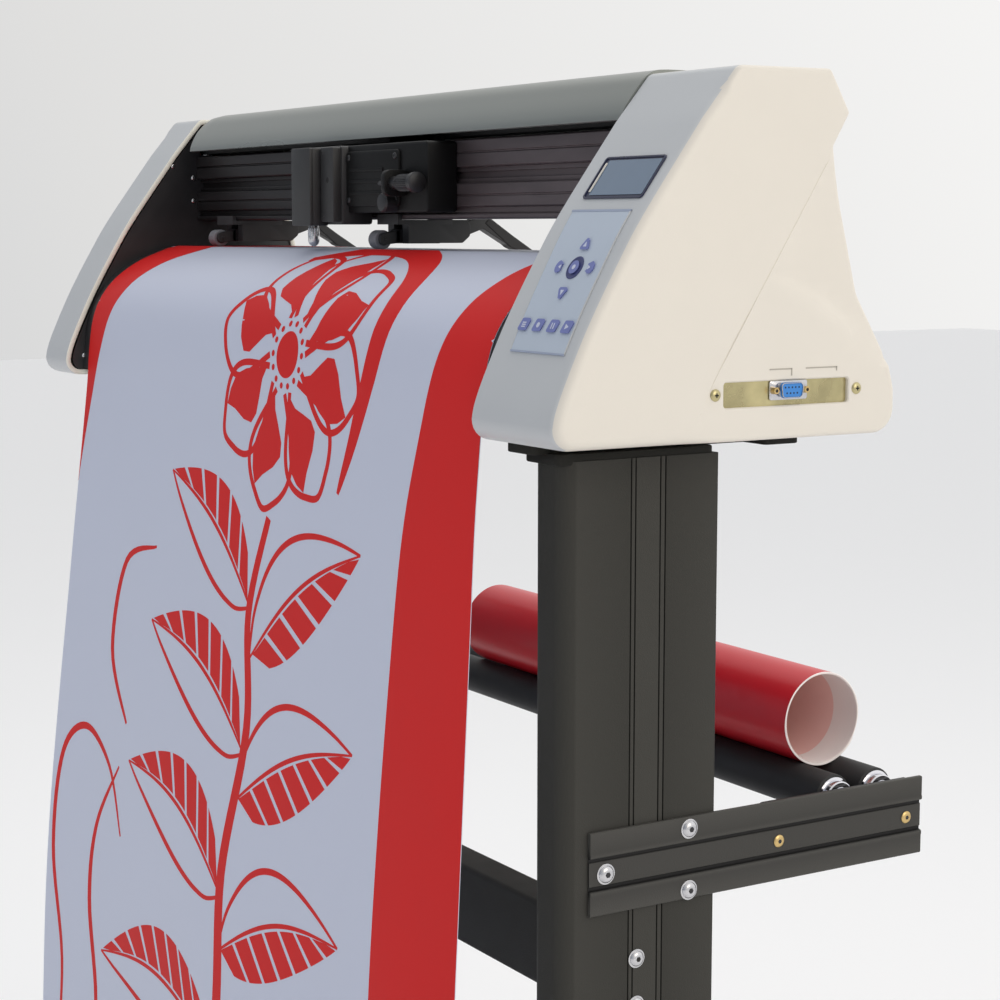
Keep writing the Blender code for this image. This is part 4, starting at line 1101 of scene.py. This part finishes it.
BEARING = [(-67.6, 13.8), (-66.2, 13.8), (-65.8, 12), (-60.4, 12), (-59.6, 11.2),
           (-59.4, 8.2), (-58.4, 8), (-58.2, 4), (-50, 4)]
for name, y in (("front", 280), ("rear", 318)):
    parts = [lathe([(-813, 14.3), (-812.4, 15.3), (-811.6, 15.5), (-68.4, 15.5),
                    (-67.6, 15.3), (-67, 14.3)], (y, -265), "x", 64)]
    parts += [lathe([(mx(x), r) for x, r in BEARING], (y, -265), "x", 48, 1)
              for mx in (lambda x: x, mirror)]
    piece(name + "_sleeve_roller", parts, [RUBBER, CHROME], name + "_roller",
          name + "_support_roller")

# --- the roll: film wound on a paper tube, its outer edge lying loose ---
ROLL_YZ = (299, -265 + math.sqrt((34.7 + 15.5 + 0.3) ** 2 - 19 ** 2))
ROLL_SIDES = 120


def roll_ring(x, r, spiral=0, wave=0):
    """Loop round the roll, with the step of the film's edge and an uneven end."""
    pts = []
    for k in range(ROLL_SIDES):
        a = 2 * math.pi * k / ROLL_SIDES
        rr = r - spiral * (1 - ((a + 0.55) % (2 * math.pi)) / (2 * math.pi))
        dx = wave * (math.sin(3 * a + 0.4) + 0.5 * math.sin(7 * a))
        pts.append(at(x + dx, ROLL_YZ[0] + rr * math.cos(a), ROLL_YZ[1] + rr * math.sin(a)))
    return pts


red_loops = [roll_ring(x, 34.7, 0.75, 0.25 if x in (-552.7, -103.3) else 0)
             for x in (-552.7, -551, -480, -400, -328, -250, -180, -105, -103.3)]
white = [roll_ring(*loop) for loop in (
    (-103.3, 34.7, 0.75, 0.25), (-103, 34.3, 0.6, 0.2), (-103.1, 33.3, 0.3, 0.1),
    (-104.2, 33), (-104.2, 32.7), (-103.6, 32.5), (-129, 32.4), (-328, 32.4),
    (-536, 32.4), (-552.4, 32.5), (-551.8, 32.7), (-551.8, 33), (-552.9, 33.3, 0.3, 0.1),
    (-553, 34.3, 0.6, 0.2), (-552.7, 34.7, 0.75, 0.25))]
# the tube's inner wall deeper in is pink: painted red glow
piece("film_roll", [skin(red_loops), skin(white[:7], 1), skin(white[6:10], 2),
                    skin(white[9:], 1)],
      [ROLL_RED, PAPER, BORE_GLOW], "media_roll", "vinyl_roll", angle=40)

# --- floor, lights and camera ----------------
floor_mesh = bpy.data.meshes.new("floor")
floor_mesh.from_pydata([(-14, -14, 0), (14, -14, 0), (14, 14, 0), (-14, 14, 0)], [],
                       [(0, 1, 2, 3)])
floor = bpy.data.objects.new("floor", floor_mesh)
scene.collection.objects.link(floor)
floor_mesh.materials.append(material("pale_floor", (0.93, 0.93, 0.94), 0.6, mottle=0.005,
                                     cloud=2))

SKY_FRONT, SKY_BACK = 0.26, 1.14      # strength of the light from the front and the back
world = bpy.data.worlds.new("studio")
world.use_nodes = True
tree = world.node_tree
lean = tree.nodes.new("ShaderNodeVectorMath")
lean.operation = "DOT_PRODUCT"
lean.inputs[1].default_value = (0.25, 0.88, 0.38)
tree.links.new(add_node(tree, "TexCoord", "Generated"), lean.inputs[0])
lean = lean.outputs["Value"]
warm = add_node(tree, "MapRange", "Result", Value=lean, From_Min=-0.8, From_Max=0.1)
wire(tree, tree.nodes["Background"],
     Strength=add_node(tree, "MapRange", "Result", Value=lean, From_Min=-1,
                       To_Min=SKY_FRONT, To_Max=SKY_BACK),
     Color=add_node(tree, "Mix", "Result", A=(0.80, 0.88, 1, 1),
                    B=(1, 0.995, 0.985, 1), Factor=warm))
scene.world = world
scene.view_settings.view_transform = "Standard"


def area_light(name, spot, aim, size, power, colour):
    data = bpy.data.lights.new(name, "AREA")
    data.shape, data.size, data.size_y = "RECTANGLE", size[0], size[1]
    data.energy, data.color = power, colour
    obj = bpy.data.objects.new(name, data)
    obj.location = spot
    obj.rotation_euler = (Vector(aim) - Vector(spot)).to_track_quat("-Z", "Y").to_euler()
    scene.collection.objects.link(obj)


area_light("key", (3.2, 0.6, 2), (0.2, 0, 0.8), (1.8, 1.8), 22, (1, 0.90, 0.76))
area_light("fill", (0.4, -3.4, 1.9), (0, 0, 0.7), (2.6, 1.6), 5, (0.80, 0.88, 1))
area_light("top", (-0.6, 0.6, 3.4), (0, 0, 0.9), (2.5, 2), 20, (1, 0.99, 0.97))

data = bpy.data.cameras.new("camera")
data.lens, data.sensor_width = 77.666, 36
camera = bpy.data.objects.new("camera", data)
camera.location = (1.5175, -0.8098, 0.975)
camera.rotation_euler = (math.radians(90 - 7.212), 0, math.radians(58.5))
scene.collection.objects.link(camera)
scene.camera = camera
